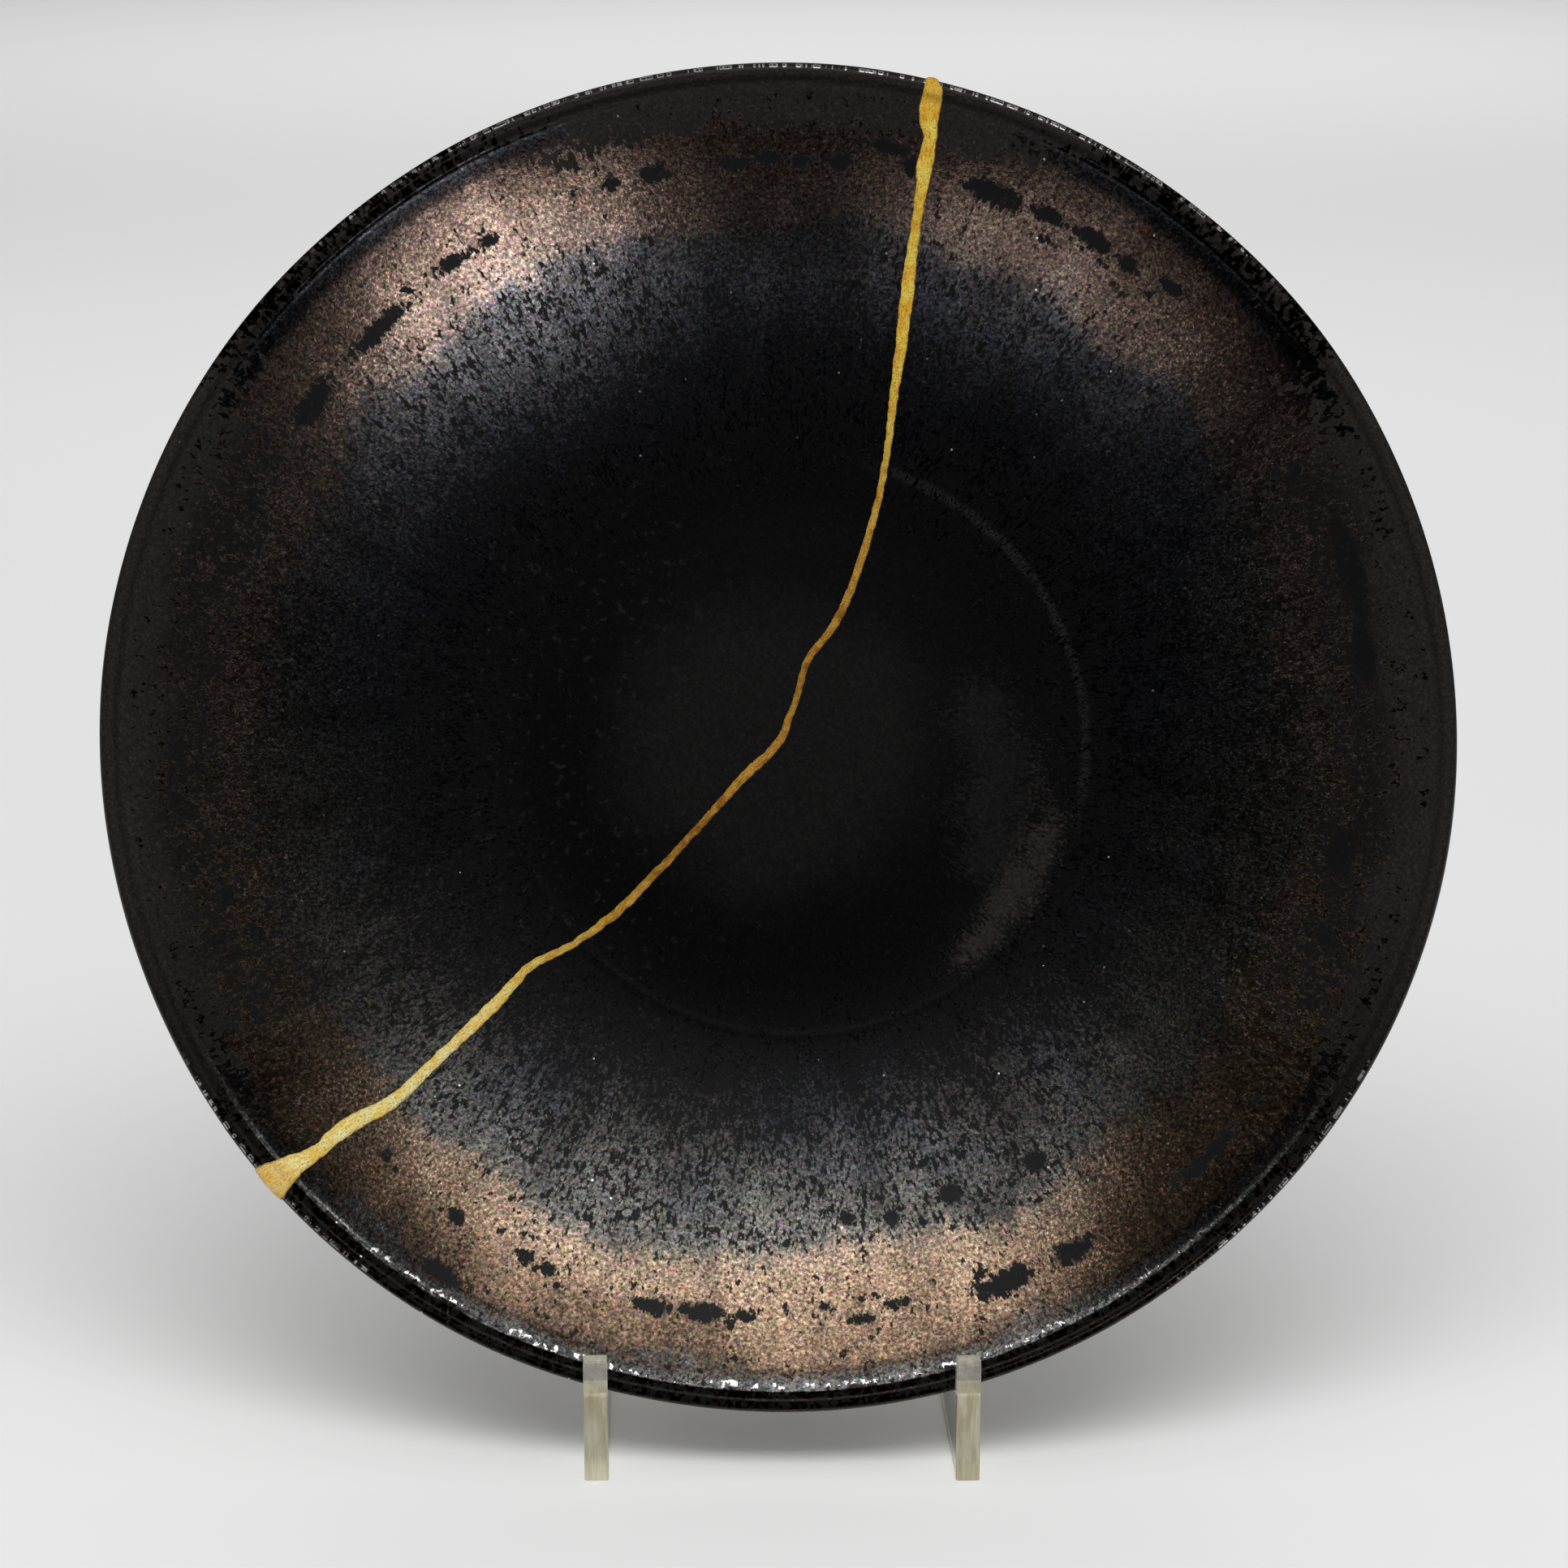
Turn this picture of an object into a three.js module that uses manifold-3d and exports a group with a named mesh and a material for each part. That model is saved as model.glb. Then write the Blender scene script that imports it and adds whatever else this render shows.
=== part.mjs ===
// A wheel-thrown ceramic plate, broken in two and mended with a raised gold seam,
// standing upright on a clear acrylic plate stand. Millimetres, +Z up, front towards -Y.
import * as THREE from 'three';
import { mergeVertices } from 'three/addons/utils/BufferGeometryUtils.js';
import Module from 'manifold-3d';

const wasm = await Module();
wasm.setup();

// Plate: heights are measured from the foot ring, radii from the plate's axis
const PLATE_RADIUS = 135;
const PLATE_HEIGHT = 40;
const BEAD_RADIUS = 2.2;
const WELL_RADIUS = 60;
const WELL_HEIGHT = 11.3;
const WELL_DISHING = 0.9;
const WELL_STEP = 0.3;
const WALL_START_SLOPE = 0.16;
const WALL_CURVE = 0.00292;
const WALL_AT_FOOT = 7;
const WALL_AT_RIM = 4;
const FOOT_RADIUS = 66.5;
const FOOT_WIDTH = 6.3;
const FOOT_EASE = 0.8;
const RECESS_HEIGHT = 5.4;
const RECESS_DRAFT = 1.2;
const UNDERSIDE_RADII = [67, 79, 91, 102, 112, 121, 129];
const INSIDE_RADII = [129.6, 121, 112, 102, 91, 79, 69, WELL_RADIUS, WELL_RADIUS - FOOT_EASE, 34];
const BEAD_START = -30;
const BEAD_END = 180;
const BEAD_STEP = 35;
const PLATE_SEGMENTS = 96;

// Seam: how far the gold stands proud, and its clearance to the shards
const SEAM_RISE = 0.4;
const FIT_GAP = 0.3;

// Stand: the legs are sheet cut to one outline and joined by a bar behind the plate
const LEG_THICKNESS = 4.7;
const LEG_SPACING = 72.6;
const LEG_LENGTH = 150;
const LEG_HEIGHT = 140;
const STAND_SHIFT = 0.85;
const STAND_SKEW = THREE.MathUtils.degToRad(2);
const LIP_DEPTH = 4;
const LIP_HEIGHT = 25.2;
const LIP_CORNER_HEIGHT = 20.1;
const LIP_ROUND = 1.2;
const NOTCH_FOOT = 1.1;
const NOTCH_FOOT_LIFT = 1;
const NOTCH_WIDTH = 3.4;
const SEAT_HEIGHT = 15.4;
const SEAT_ROUND = 5;
const UPRIGHT_TOP_WIDTH = 12;
const UPRIGHT_TOP_ROUND = 6;
const SWEEP_SETBACK = 102;
const SWEEP_HEIGHT = 17;
const TAIL_HEIGHT = 11;
const TAIL_ROUND = 7;
const HEEL_ROUND = 4;
const CURVE_SEGMENTS = 8;
const EDGE_ROUND = 0.4;
const BRACE_HEIGHT = 30;
const BRACE_LIFT = 8;
const BRACE_SETBACK = 86;

// Pose: the plate leans back, its rim caught behind the lips
const LEAN = THREE.MathUtils.degToRad(20);
const RIM_CENTRE_HEIGHT = 139.6;
const RIM_CENTRE_SETBACK = 49.2;

// Crack line in the plate's own plane, from the top rim to the lower left rim:
// across, up and the width of the gold there
const CRACK = [
  [30.3, 135.5, 2.6],
  [31.2, 129, 3.9],
  [30.5, 124.2, 4.1],
  [30.8, 120.6, 2.8],
  [30, 116.5, 3.4],
  [29, 109.8, 2.3],
  [27.9, 102.5, 2.1],
  [26.6, 92, 2.8],
  [25.4, 82, 2.5],
  [23.8, 70, 1.8],
  [22.6, 60, 1.5],
  [20.3, 48.4, 1.5],
  [17, 37, 1.7],
  [11.8, 24.4, 1.7],
  [6, 16.3, 1.5],
  [3.5, 8.2, 1.4],
  [0.4, 0.1, 1.8],
  [-6.5, -6.9, 2],
  [-13.9, -15.2, 1.6],
  [-23.9, -26, 1.7],
  [-34.3, -36.4, 1.9],
  [-43.5, -42.8, 1.5],
  [-50.1, -46.3, 1.8],
  [-57.5, -54.2, 2.5],
  [-69.9, -66.8, 2.3],
  [-76.5, -73.5, 2.7],
  [-86.5, -79.5, 3.4],
  [-91.5, -84.1, 3],
  [-95.5, -86.6, 4.6],
  [-98.5, -88.9, 7],
  [-101, -91, 8.6],
];
const CRACK_STEPS_PER_SPAN = 2;
const CRACK_OVERRUN = 14;

const glazeMaterial = () => new THREE.MeshStandardMaterial({
  color: 0x1d1a1a,
  roughness: 0.34,
  metalness: 0.35,
});
const goldMaterial = () => new THREE.MeshStandardMaterial({ color: 0xd9a832, roughness: 0.34, metalness: 1 });
const acrylicMaterial = () => new THREE.MeshStandardMaterial({
  color: 0xd3d0b0,
  roughness: 0.08,
  metalness: 0,
  transparent: true,
  opacity: 0.4,
});

// Solids for the boolean cuts

function toSolid(geometry) {
  const bare = geometry.index ? geometry.toNonIndexed() : geometry.clone();
  bare.deleteAttribute('normal');
  bare.deleteAttribute('uv');
  const merged = mergeVertices(bare, 1e-4);
  return new wasm.Manifold(new wasm.Mesh({
    numProp: 3,
    vertProperties: Float32Array.from(merged.attributes.position.array),
    triVerts: Uint32Array.from(merged.index.array),
  }));
}

function toGeometry(solid) {
  const mesh = solid.getMesh();
  const geometry = new THREE.BufferGeometry();
  geometry.setAttribute('position', new THREE.BufferAttribute(Float32Array.from(mesh.vertProperties), 3));
  geometry.setIndex(new THREE.BufferAttribute(Uint32Array.from(mesh.triVerts), 1));
  return geometry;
}

// Plate profile

function dishHeight(radius) {
  if (radius < WELL_RADIUS) {
    return WELL_HEIGHT + WELL_DISHING * (radius / WELL_RADIUS) ** 2;
  }
  const run = radius - WELL_RADIUS;
  return WELL_HEIGHT + WELL_DISHING + WELL_STEP + WALL_START_SLOPE * run + WALL_CURVE * run ** 2;
}

function wallUnderside(radius) {
  const run = radius - WELL_RADIUS;
  const tilt = Math.atan(WALL_START_SLOPE + 2 * WALL_CURVE * run);
  const share = (radius - FOOT_RADIUS) / (PLATE_RADIUS - FOOT_RADIUS);
  const wall = THREE.MathUtils.lerp(WALL_AT_FOOT, WALL_AT_RIM, share);
  return new THREE.Vector2(radius + wall * Math.sin(tilt), dishHeight(radius) - wall * Math.cos(tilt));
}

function plateProfile() {
  const at = (radius, height) => new THREE.Vector2(radius, height);
  const footInner = FOOT_RADIUS - FOOT_WIDTH;
  const beadCentre = at(PLATE_RADIUS - BEAD_RADIUS, PLATE_HEIGHT - BEAD_RADIUS);
  const profile = [
    at(0, RECESS_HEIGHT),
    at(footInner - RECESS_DRAFT, RECESS_HEIGHT),
    at(footInner, FOOT_EASE),
    at(footInner + FOOT_EASE, 0),
    at(FOOT_RADIUS - FOOT_EASE, 0),
    at(FOOT_RADIUS, FOOT_EASE),
    ...UNDERSIDE_RADII.map(wallUnderside),
  ];
  for (let degrees = BEAD_START; degrees <= BEAD_END; degrees += BEAD_STEP) {
    const angle = THREE.MathUtils.degToRad(degrees);
    const spoke = at(Math.cos(angle), Math.sin(angle)).multiplyScalar(BEAD_RADIUS);
    profile.push(beadCentre.clone().add(spoke));
  }
  profile.push(...INSIDE_RADII.map((radius) => at(radius, dishHeight(radius))));
  profile.push(at(0, WELL_HEIGHT));
  return profile;
}

// The same profile moved outwards, so that a coat on the plate can be turned from it
function grownProfile(profile, distance) {
  return profile.map((point, index) => {
    const before = profile[Math.max(index - 1, 0)];
    const after = profile[Math.min(index + 1, profile.length - 1)];
    const along = after.clone().sub(before).normalize();
    const across = point.x === 0 ? 0 : point.x + along.y * distance;
    return new THREE.Vector2(across, point.y - along.x * distance);
  });
}

// The lathe turns about Y; the plate's own frame has its axis along +Z and +Y up the face
function turned(profile) {
  return toSolid(new THREE.LatheGeometry(profile, PLATE_SEGMENTS).rotateX(Math.PI / 2));
}

// Crack line, its two edges, and the regions that they part the plate into

function crackStations() {
  const asVector = ([across, up, width]) => new THREE.Vector3(across, up, width);
  const spline = new THREE.CatmullRomCurve3(CRACK.map(asVector));
  const stations = spline.getPoints((CRACK.length - 1) * CRACK_STEPS_PER_SPAN);
  const overrun = (inner, end) => {
    const outwards = new THREE.Vector3(end.x - inner.x, end.y - inner.y, 0).setLength(CRACK_OVERRUN);
    return end.clone().add(outwards);
  };
  return [
    overrun(stations[1], stations[0]),
    ...stations,
    overrun(stations.at(-2), stations.at(-1)),
  ];
}

function crackEdges(extra) {
  const stations = crackStations();
  const left = [];
  const right = [];
  stations.forEach((station, index) => {
    const before = stations[Math.max(index - 1, 0)];
    const after = stations[Math.min(index + 1, stations.length - 1)];
    const along = new THREE.Vector2(after.x - before.x, after.y - before.y).normalize();
    const side = new THREE.Vector2(along.y, -along.x).multiplyScalar(station.z / 2 + extra);
    left.push(new THREE.Vector2(station.x, station.y).add(side));
    right.push(new THREE.Vector2(station.x, station.y).sub(side));
  });
  return { left, right };
}

function prism(outline) {
  const geometry = new THREE.ExtrudeGeometry(new THREE.Shape(outline), {
    depth: PLATE_HEIGHT + 2 * CRACK_OVERRUN,
    bevelEnabled: false,
  });
  return toSolid(geometry.translate(0, 0, -CRACK_OVERRUN));
}

function buildPlate() {
  const profile = plateProfile();
  const body = turned(profile);
  const coat = turned(grownProfile(profile, SEAM_RISE));
  const gold = crackEdges(0);
  const broken = crackEdges(FIT_GAP);
  const far = PLATE_RADIUS * 2;
  const corner = (across, up) => new THREE.Vector2(across, up);
  const upperLeft = prism([...broken.left, corner(-far, -far / 2), corner(-far, far), corner(0, far)]);
  const lowerRight = prism([...broken.right, corner(-far / 2, -far), corner(far, -far), corner(far, far)]);
  const band = prism([...gold.left, ...gold.right.reverse()]);
  return {
    upperLeft: toGeometry(body.intersect(upperLeft)),
    lowerRight: toGeometry(body.intersect(lowerRight)),
    seam: toGeometry(coat.intersect(band)),
  };
}

// Stand

// Side view of a leg: across is the distance behind its front edge, up is the height
function legOutline() {
  const clearance = (PLATE_HEIGHT + FIT_GAP) / Math.cos(LEAN);
  const uprightFront = (height) => (
    RIM_CENTRE_SETBACK + (height - RIM_CENTRE_HEIGHT) * Math.tan(LEAN) + clearance
  );
  const topFront = uprightFront(LEG_HEIGHT);
  const topBack = topFront + UPRIGHT_TOP_WIDTH;
  const shoulder = LEG_HEIGHT - UPRIGHT_TOP_ROUND;
  const outline = new THREE.Shape();
  outline.moveTo(0, 0);
  outline.lineTo(LEG_LENGTH - HEEL_ROUND, 0);
  outline.quadraticCurveTo(LEG_LENGTH, 0, LEG_LENGTH, HEEL_ROUND);
  outline.quadraticCurveTo(LEG_LENGTH, TAIL_HEIGHT, LEG_LENGTH - TAIL_ROUND, TAIL_HEIGHT);
  outline.quadraticCurveTo(SWEEP_SETBACK, SWEEP_HEIGHT, topBack, shoulder);
  outline.quadraticCurveTo(topBack, LEG_HEIGHT, topFront + UPRIGHT_TOP_ROUND, LEG_HEIGHT);
  outline.quadraticCurveTo(topFront, LEG_HEIGHT, uprightFront(shoulder), shoulder);
  outline.lineTo(uprightFront(SEAT_HEIGHT + SEAT_ROUND), SEAT_HEIGHT + SEAT_ROUND);
  outline.quadraticCurveTo(
    uprightFront(SEAT_HEIGHT), SEAT_HEIGHT,
    uprightFront(SEAT_HEIGHT) - SEAT_ROUND, SEAT_HEIGHT,
  );
  outline.lineTo(LIP_DEPTH + NOTCH_WIDTH, SEAT_HEIGHT);
  outline.lineTo(LIP_DEPTH + NOTCH_FOOT, SEAT_HEIGHT + NOTCH_FOOT_LIFT);
  outline.lineTo(LIP_DEPTH, LIP_CORNER_HEIGHT);
  outline.lineTo(LIP_DEPTH, LIP_HEIGHT - LIP_ROUND);
  outline.quadraticCurveTo(LIP_DEPTH, LIP_HEIGHT, LIP_DEPTH - LIP_ROUND, LIP_HEIGHT);
  outline.lineTo(LIP_ROUND, LIP_HEIGHT);
  outline.quadraticCurveTo(0, LIP_HEIGHT, 0, LIP_HEIGHT - LIP_ROUND);
  outline.closePath();
  return outline;
}

function buildLeg() {
  const geometry = new THREE.ExtrudeGeometry(legOutline(), {
    depth: LEG_THICKNESS - 2 * EDGE_ROUND,
    curveSegments: CURVE_SEGMENTS,
    bevelEnabled: true,
    bevelThickness: EDGE_ROUND,
    bevelSize: EDGE_ROUND,
    bevelOffset: -EDGE_ROUND,
    bevelSegments: 1,
  });
  geometry.translate(0, 0, EDGE_ROUND - LEG_THICKNESS / 2);
  const setback = new THREE.Vector3(0, 1, 0);
  const height = new THREE.Vector3(0, 0, 1);
  const across = new THREE.Vector3(1, 0, 0);
  return geometry.applyMatrix4(new THREE.Matrix4().makeBasis(setback, height, across));
}

function named(name, geometry, material) {
  const mesh = new THREE.Mesh(geometry, material);
  mesh.name = name;
  return mesh;
}

function buildStand() {
  const stand = new THREE.Group();
  const halfAcross = LEG_SPACING / 2 * Math.cos(STAND_SKEW);
  const halfStagger = LEG_SPACING / 2 * Math.sin(STAND_SKEW);
  for (const [side, sign] of [['left', -1], ['right', 1]]) {
    const leg = named(`stand_${side}_leg`, buildLeg(), acrylicMaterial());
    leg.position.set(sign * halfAcross, -sign * halfStagger, 0);
    stand.add(leg);
  }
  const braceLength = 2 * halfAcross - LEG_THICKNESS - 2 * FIT_GAP;
  const brace = named(
    'stand_cross_brace',
    new THREE.BoxGeometry(braceLength, LEG_THICKNESS, BRACE_HEIGHT),
    acrylicMaterial(),
  );
  brace.position.set(0, BRACE_SETBACK, BRACE_LIFT + BRACE_HEIGHT / 2);
  stand.add(brace);
  stand.position.set(STAND_SHIFT, -LEG_LENGTH / 2, 0);
  stand.rotation.z = STAND_SKEW;
  return stand;
}

function buildLeaningPlate() {
  const { upperLeft, lowerRight, seam } = buildPlate();
  const plate = new THREE.Group();
  plate.add(named('plate_upper_left_shard', upperLeft, glazeMaterial()));
  plate.add(named('plate_lower_right_shard', lowerRight, glazeMaterial()));
  plate.add(named('gold_seam', seam, goldMaterial()));
  plate.rotation.x = Math.PI / 2 - LEAN;
  plate.position.set(
    0,
    RIM_CENTRE_SETBACK - LEG_LENGTH / 2 + PLATE_HEIGHT * Math.cos(LEAN),
    RIM_CENTRE_HEIGHT - PLATE_HEIGHT * Math.sin(LEAN),
  );
  return plate;
}

const model = new THREE.Group();
model.add(buildLeaningPlate(), buildStand());

export default model;
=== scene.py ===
import math
from types import SimpleNamespace

import bmesh
import bpy
import numpy as np
from mathutils import Matrix, Vector


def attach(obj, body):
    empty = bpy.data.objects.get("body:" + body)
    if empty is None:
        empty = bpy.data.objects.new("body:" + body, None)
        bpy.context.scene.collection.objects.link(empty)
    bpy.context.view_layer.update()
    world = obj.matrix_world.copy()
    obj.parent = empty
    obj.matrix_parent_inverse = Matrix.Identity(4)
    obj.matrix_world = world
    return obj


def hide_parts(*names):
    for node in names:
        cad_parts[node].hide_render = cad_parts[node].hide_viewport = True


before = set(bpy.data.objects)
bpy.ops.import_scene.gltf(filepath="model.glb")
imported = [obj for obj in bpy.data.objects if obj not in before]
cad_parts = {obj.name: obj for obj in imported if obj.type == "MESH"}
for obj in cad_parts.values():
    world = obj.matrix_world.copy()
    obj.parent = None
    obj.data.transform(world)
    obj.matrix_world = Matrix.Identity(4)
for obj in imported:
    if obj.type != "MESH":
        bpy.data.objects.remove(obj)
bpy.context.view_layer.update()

# Camera and room: a long lens at table height, a little above the plate, over a seamless pale
# table. The glaze mirrors one large soft light over the front edge, a fainter one behind the
# camera, three low ones beside the lens and a dim room. The fill and the table's light, and the
# floor in front of the plate, are kept out of its reflections.

LENS = 83.85
EYE = Vector((0.0012, -0.7285, 0.3201))
EYE_TARGET = Vector((0.0012, -0.0258, 0.1279))
FLOOR_HALF = 7.0
FLOOR_SPLIT = -0.078
FLOOR_GREY = (0.74, 0.74, 0.74, 1)
ROOM_LIGHT = 0.33
ROOM_SLOPE = (0.0, -0.10, 0.34)
ROOM_IN_GLAZE = 0.027
ROOM_THROUGH_ACRYLIC = 1.15
LIT_POINT = Vector((0.0, -0.02, 0.14))
TABLE_BEHIND = Vector((0.0, 1.15, 0.0))
BACKDROP = Vector((0.2, 4.3, 0.0))
WHITE = (1, 1, 1, 1)

bpy.context.scene.view_settings.view_transform = "Standard"

camera = bpy.data.objects.new("Camera", bpy.data.cameras.new("Camera"))
camera.data.lens = LENS
camera.location = EYE
camera.rotation_euler = (EYE_TARGET - EYE).to_track_quat("-Z", "Y").to_euler()
bpy.context.scene.collection.objects.link(camera)
bpy.context.scene.camera = camera


def soft_light(
        name, azimuth, elevation, distance, size, power, aim=LIT_POINT, in_glaze=True, spread=180):
    """A softbox aimed at a point. Azimuth 0 is in front of it, and positive to the right."""
    light = bpy.data.lights.new(name, "AREA")
    light.shape = "RECTANGLE"
    light.size, light.size_y = size
    light.energy = power
    light.spread = math.radians(spread)
    turn, rise = math.radians(azimuth), math.radians(elevation)
    towards = Vector((
        math.sin(turn) * math.cos(rise),
        -math.cos(turn) * math.cos(rise),
        math.sin(rise),
    ))
    holder = bpy.data.objects.new(name, light)
    holder.location = aim + towards * distance
    holder.rotation_euler = (-towards).to_track_quat("-Z", "Y").to_euler()
    holder.visible_glossy = in_glaze
    holder.visible_camera = False
    bpy.context.scene.collection.objects.link(holder)


soft_light("Light_overhead", 5, 60, 1.3, (0.89, 0.70), 3.4)
soft_light("Light_front", 14, 38, 1.4, (0.80, 0.26), 0.20)
soft_light("Light_low_right", 17.5, -3.2, 0.76, (0.17, 0.18), 0.29)
soft_light("Light_low_left", -16, -4.5, 0.77, (0.18, 0.14), 0.085)
soft_light("Light_low_middle", 0, -7, 0.77, (0.26, 0.08), 0.003)
soft_light("Light_fill", 0, 60, 1.5, (2.2, 0.6), 14.0, in_glaze=False)
soft_light("Light_table", 0, 89, 1.5, (2.4, 1.2), 3.5, TABLE_BEHIND, in_glaze=False, spread=95)
soft_light("Light_backdrop", 0, 80, 2.4, (3.2, 3.4), 33.0, BACKDROP, spread=140)


def fill(made, inputs):
    """Sets a node's sockets, each to a plain value or to another node's output."""
    for socket, value in inputs.items():
        if isinstance(value, bpy.types.NodeSocket):
            made.id_data.links.new(value, made.inputs[socket])
        else:
            made.inputs[socket].default_value = value


def node(tree, kind, inputs=None, **settings):
    """Adds one node with its settings and its inputs."""
    made = tree.nodes.new(kind)
    for name, value in settings.items():
        setattr(made, name, value)
    fill(made, inputs or {})
    return made


def tree_of(*values):
    """The tree that the first output among the values belongs to."""
    return next(value.id_data for value in values if isinstance(value, bpy.types.NodeSocket))


def calc(operation, *values, clamp=False):
    """One sum in a tree."""
    inputs = dict(enumerate(values))
    made = node(tree_of(*values), "ShaderNodeMath", inputs, operation=operation, use_clamp=clamp)
    return made.outputs[0]


def vector_calc(operation, *values):
    """One vector sum in a tree."""
    made = node(tree_of(*values), "ShaderNodeVectorMath", dict(enumerate(values)), operation=operation)
    scalar = operation in ("LENGTH", "DOT_PRODUCT", "DISTANCE")
    return made.outputs["Value" if scalar else "Vector"]


def mix(amount, first, second):
    """One value or the other, by an amount from 0 to 1."""
    tree = tree_of(amount, first, second)
    return node(tree, "ShaderNodeMix", {0: amount, 2: first, 3: second}).outputs[0]


world = bpy.data.worlds.new("Room")
world.use_nodes = True
bpy.context.scene.world = world
world.cycles.sampling_method = "NONE"
room = world.node_tree
rays = node(room, "ShaderNodeLightPath").outputs
mirrored = calc("SUBTRACT", rays["Is Glossy Ray"], rays["Is Transmission Ray"], clamp=True)
direction = node(room, "ShaderNodeTexCoord").outputs["Generated"]
lit_side = calc("ADD", vector_calc("DOT_PRODUCT", direction, ROOM_SLOPE), ROOM_LIGHT)
level = mix(mirrored, lit_side, ROOM_IN_GLAZE)
level = mix(rays["Is Transmission Ray"], level, ROOM_THROUGH_ACRYLIC)
fill(room.nodes["Background"], {"Color": WHITE, "Strength": level})


def new_material(name):
    """An empty material, its tree and its shader."""
    material = bpy.data.materials.new(name)
    material.use_nodes = True
    tree = material.node_tree
    return material, tree, tree.nodes["Principled BSDF"]


def add_object(name, data):
    """An object at the origin."""
    made = bpy.data.objects.new(name, data)
    bpy.context.scene.collection.objects.link(made)
    return made


pale_table, _, table_shader = new_material("Pale table")
fill(table_shader, {"Base Color": FLOOR_GREY, "Roughness": 0.75, "Specular IOR Level": 0.2})
for name, near, far, in_glaze in (
    ("Floor_behind", FLOOR_SPLIT, FLOOR_HALF, True),
    ("Floor_in_front", -FLOOR_HALF, FLOOR_SPLIT, False),
):
    sheet = bpy.data.meshes.new(name)
    corners = [(-FLOOR_HALF, near, 0), (FLOOR_HALF, near, 0), (FLOOR_HALF, far, 0), (-FLOOR_HALF, far, 0)]
    sheet.from_pydata(corners, [], [(0, 1, 2, 3)])
    sheet.materials.append(pale_table)
    floor = add_object(name, sheet)
    floor.visible_glossy = in_glaze


# Plate: thrown on the wheel in dark stoneware, a wide dish on a turned foot ring with a
# rolled bead for a rim. It broke in two along one crack, and the shards meet there again.
# The plate's own frame has its axis on +Z and +Y up the face, in millimetres until placed.

RIM_RADIUS = 135.0
PLATE_HEIGHT = 40.0
BEAD_RADIUS = 1.75
GROOVE_RADIUS = 131.0
GROOVE_DEPTH = 0.22
GROOVE_WIDTH = 0.7
WELL_RADIUS = 60.0
WELL_EASE = (42.0, 68.0)
FACE_STEP = 0.1
FACE_AT_RIM = 40.9
WALL_START_SLOPE = 0.16
WALL_CURVE = 0.00292
WALL_AT_FOOT = 7.0
WALL_AT_RIM = 4.0
FOOT_RADIUS = 66.5
FOOT_WIDTH = 6.3
FOOT_EASE = 0.8
RECESS_HEIGHT = 5.4
RECESS_DRAFT = 1.2
RING_CENTRE = Vector((3.4, -0.8, 0.0))
RING_RADIUS = 60.0
RING_RISE = 0.05
RING_WIDTH = 0.8
WHEEL_STEPS = 600
RECESS_POINTS = 12
FOOT_POINTS = 6
UNDERSIDE_SPAN = (67.2, 129.2, 26)
BEAD_ARC = (-42, 156, 22)
FACE_SPANS = [(131.2, 128.6, -0.22), (128.5, 65, -1.25), (64.6, 55.4, -0.35)]
WELL_SPAN = (55, 0, 34)
HAND_WOBBLE = 0.9
WOBBLE_TURNS = 1.3
SHARD_GAP = 0.3
PAST_RIM = 20.0
LEAN = math.radians(20)
AXIS_ORIGIN = Vector((0.0, 0.011788, 0.125919))
MILLIMETRE = 0.001
FLAT = (1, 1, 0)
GLAZE_SHARP_FROM = math.radians(50)

plate_place = (
    Matrix.Translation(AXIS_ORIGIN)
    @ Matrix.Rotation(math.pi / 2 - LEAN, 4, "X")
    @ Matrix.Scale(MILLIMETRE, 4)
)


def face_heights():
    """Radii and heights of the face over the foot: the slope sets in round the well's edge and
    steepens outwards, so the heights are summed inwards from the wall."""
    radii = np.arange(0, RIM_RADIUS, FACE_STEP)
    run = np.maximum(radii - WELL_RADIUS, 0)
    onset = np.clip((radii - WELL_EASE[0]) / (WELL_EASE[1] - WELL_EASE[0]), 0, 1)
    slope = (WALL_START_SLOPE + 2 * WALL_CURVE * run) * onset ** 2 * (3 - 2 * onset)
    heights = np.concatenate([[0], np.cumsum(slope[:-1] + slope[1:]) * FACE_STEP / 2])
    return radii, heights - heights[-1] + FACE_AT_RIM


FACE_RADII, FACE_HEIGHTS = face_heights()


def dish_height(radius):
    """Height of the face, with the groove inside the bead."""
    groove = GROOVE_DEPTH * np.exp(-((radius - GROOVE_RADIUS) / GROOVE_WIDTH) ** 2)
    return np.interp(radius, FACE_RADII, FACE_HEIGHTS) - groove


def back_of_wall(radius):
    """The point under the face at this radius, square through the thickness of the wall."""
    run = radius - WELL_RADIUS
    tilt = np.arctan(WALL_START_SLOPE + 2 * WALL_CURVE * run)
    share = (radius - FOOT_RADIUS) / (RIM_RADIUS - FOOT_RADIUS)
    wall = WALL_AT_FOOT + (WALL_AT_RIM - WALL_AT_FOOT) * share
    height = dish_height(radius) - wall * np.cos(tilt)
    return np.stack([radius + wall * np.sin(tilt), height], -1)


def arc(centre, radius, start, end, steps):
    """Points on an arc, from one angle to another in degrees."""
    angles = np.radians(np.linspace(start, end, steps))
    return np.stack([centre[0] + radius * np.cos(angles), centre[1] + radius * np.sin(angles)], -1)


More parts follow.
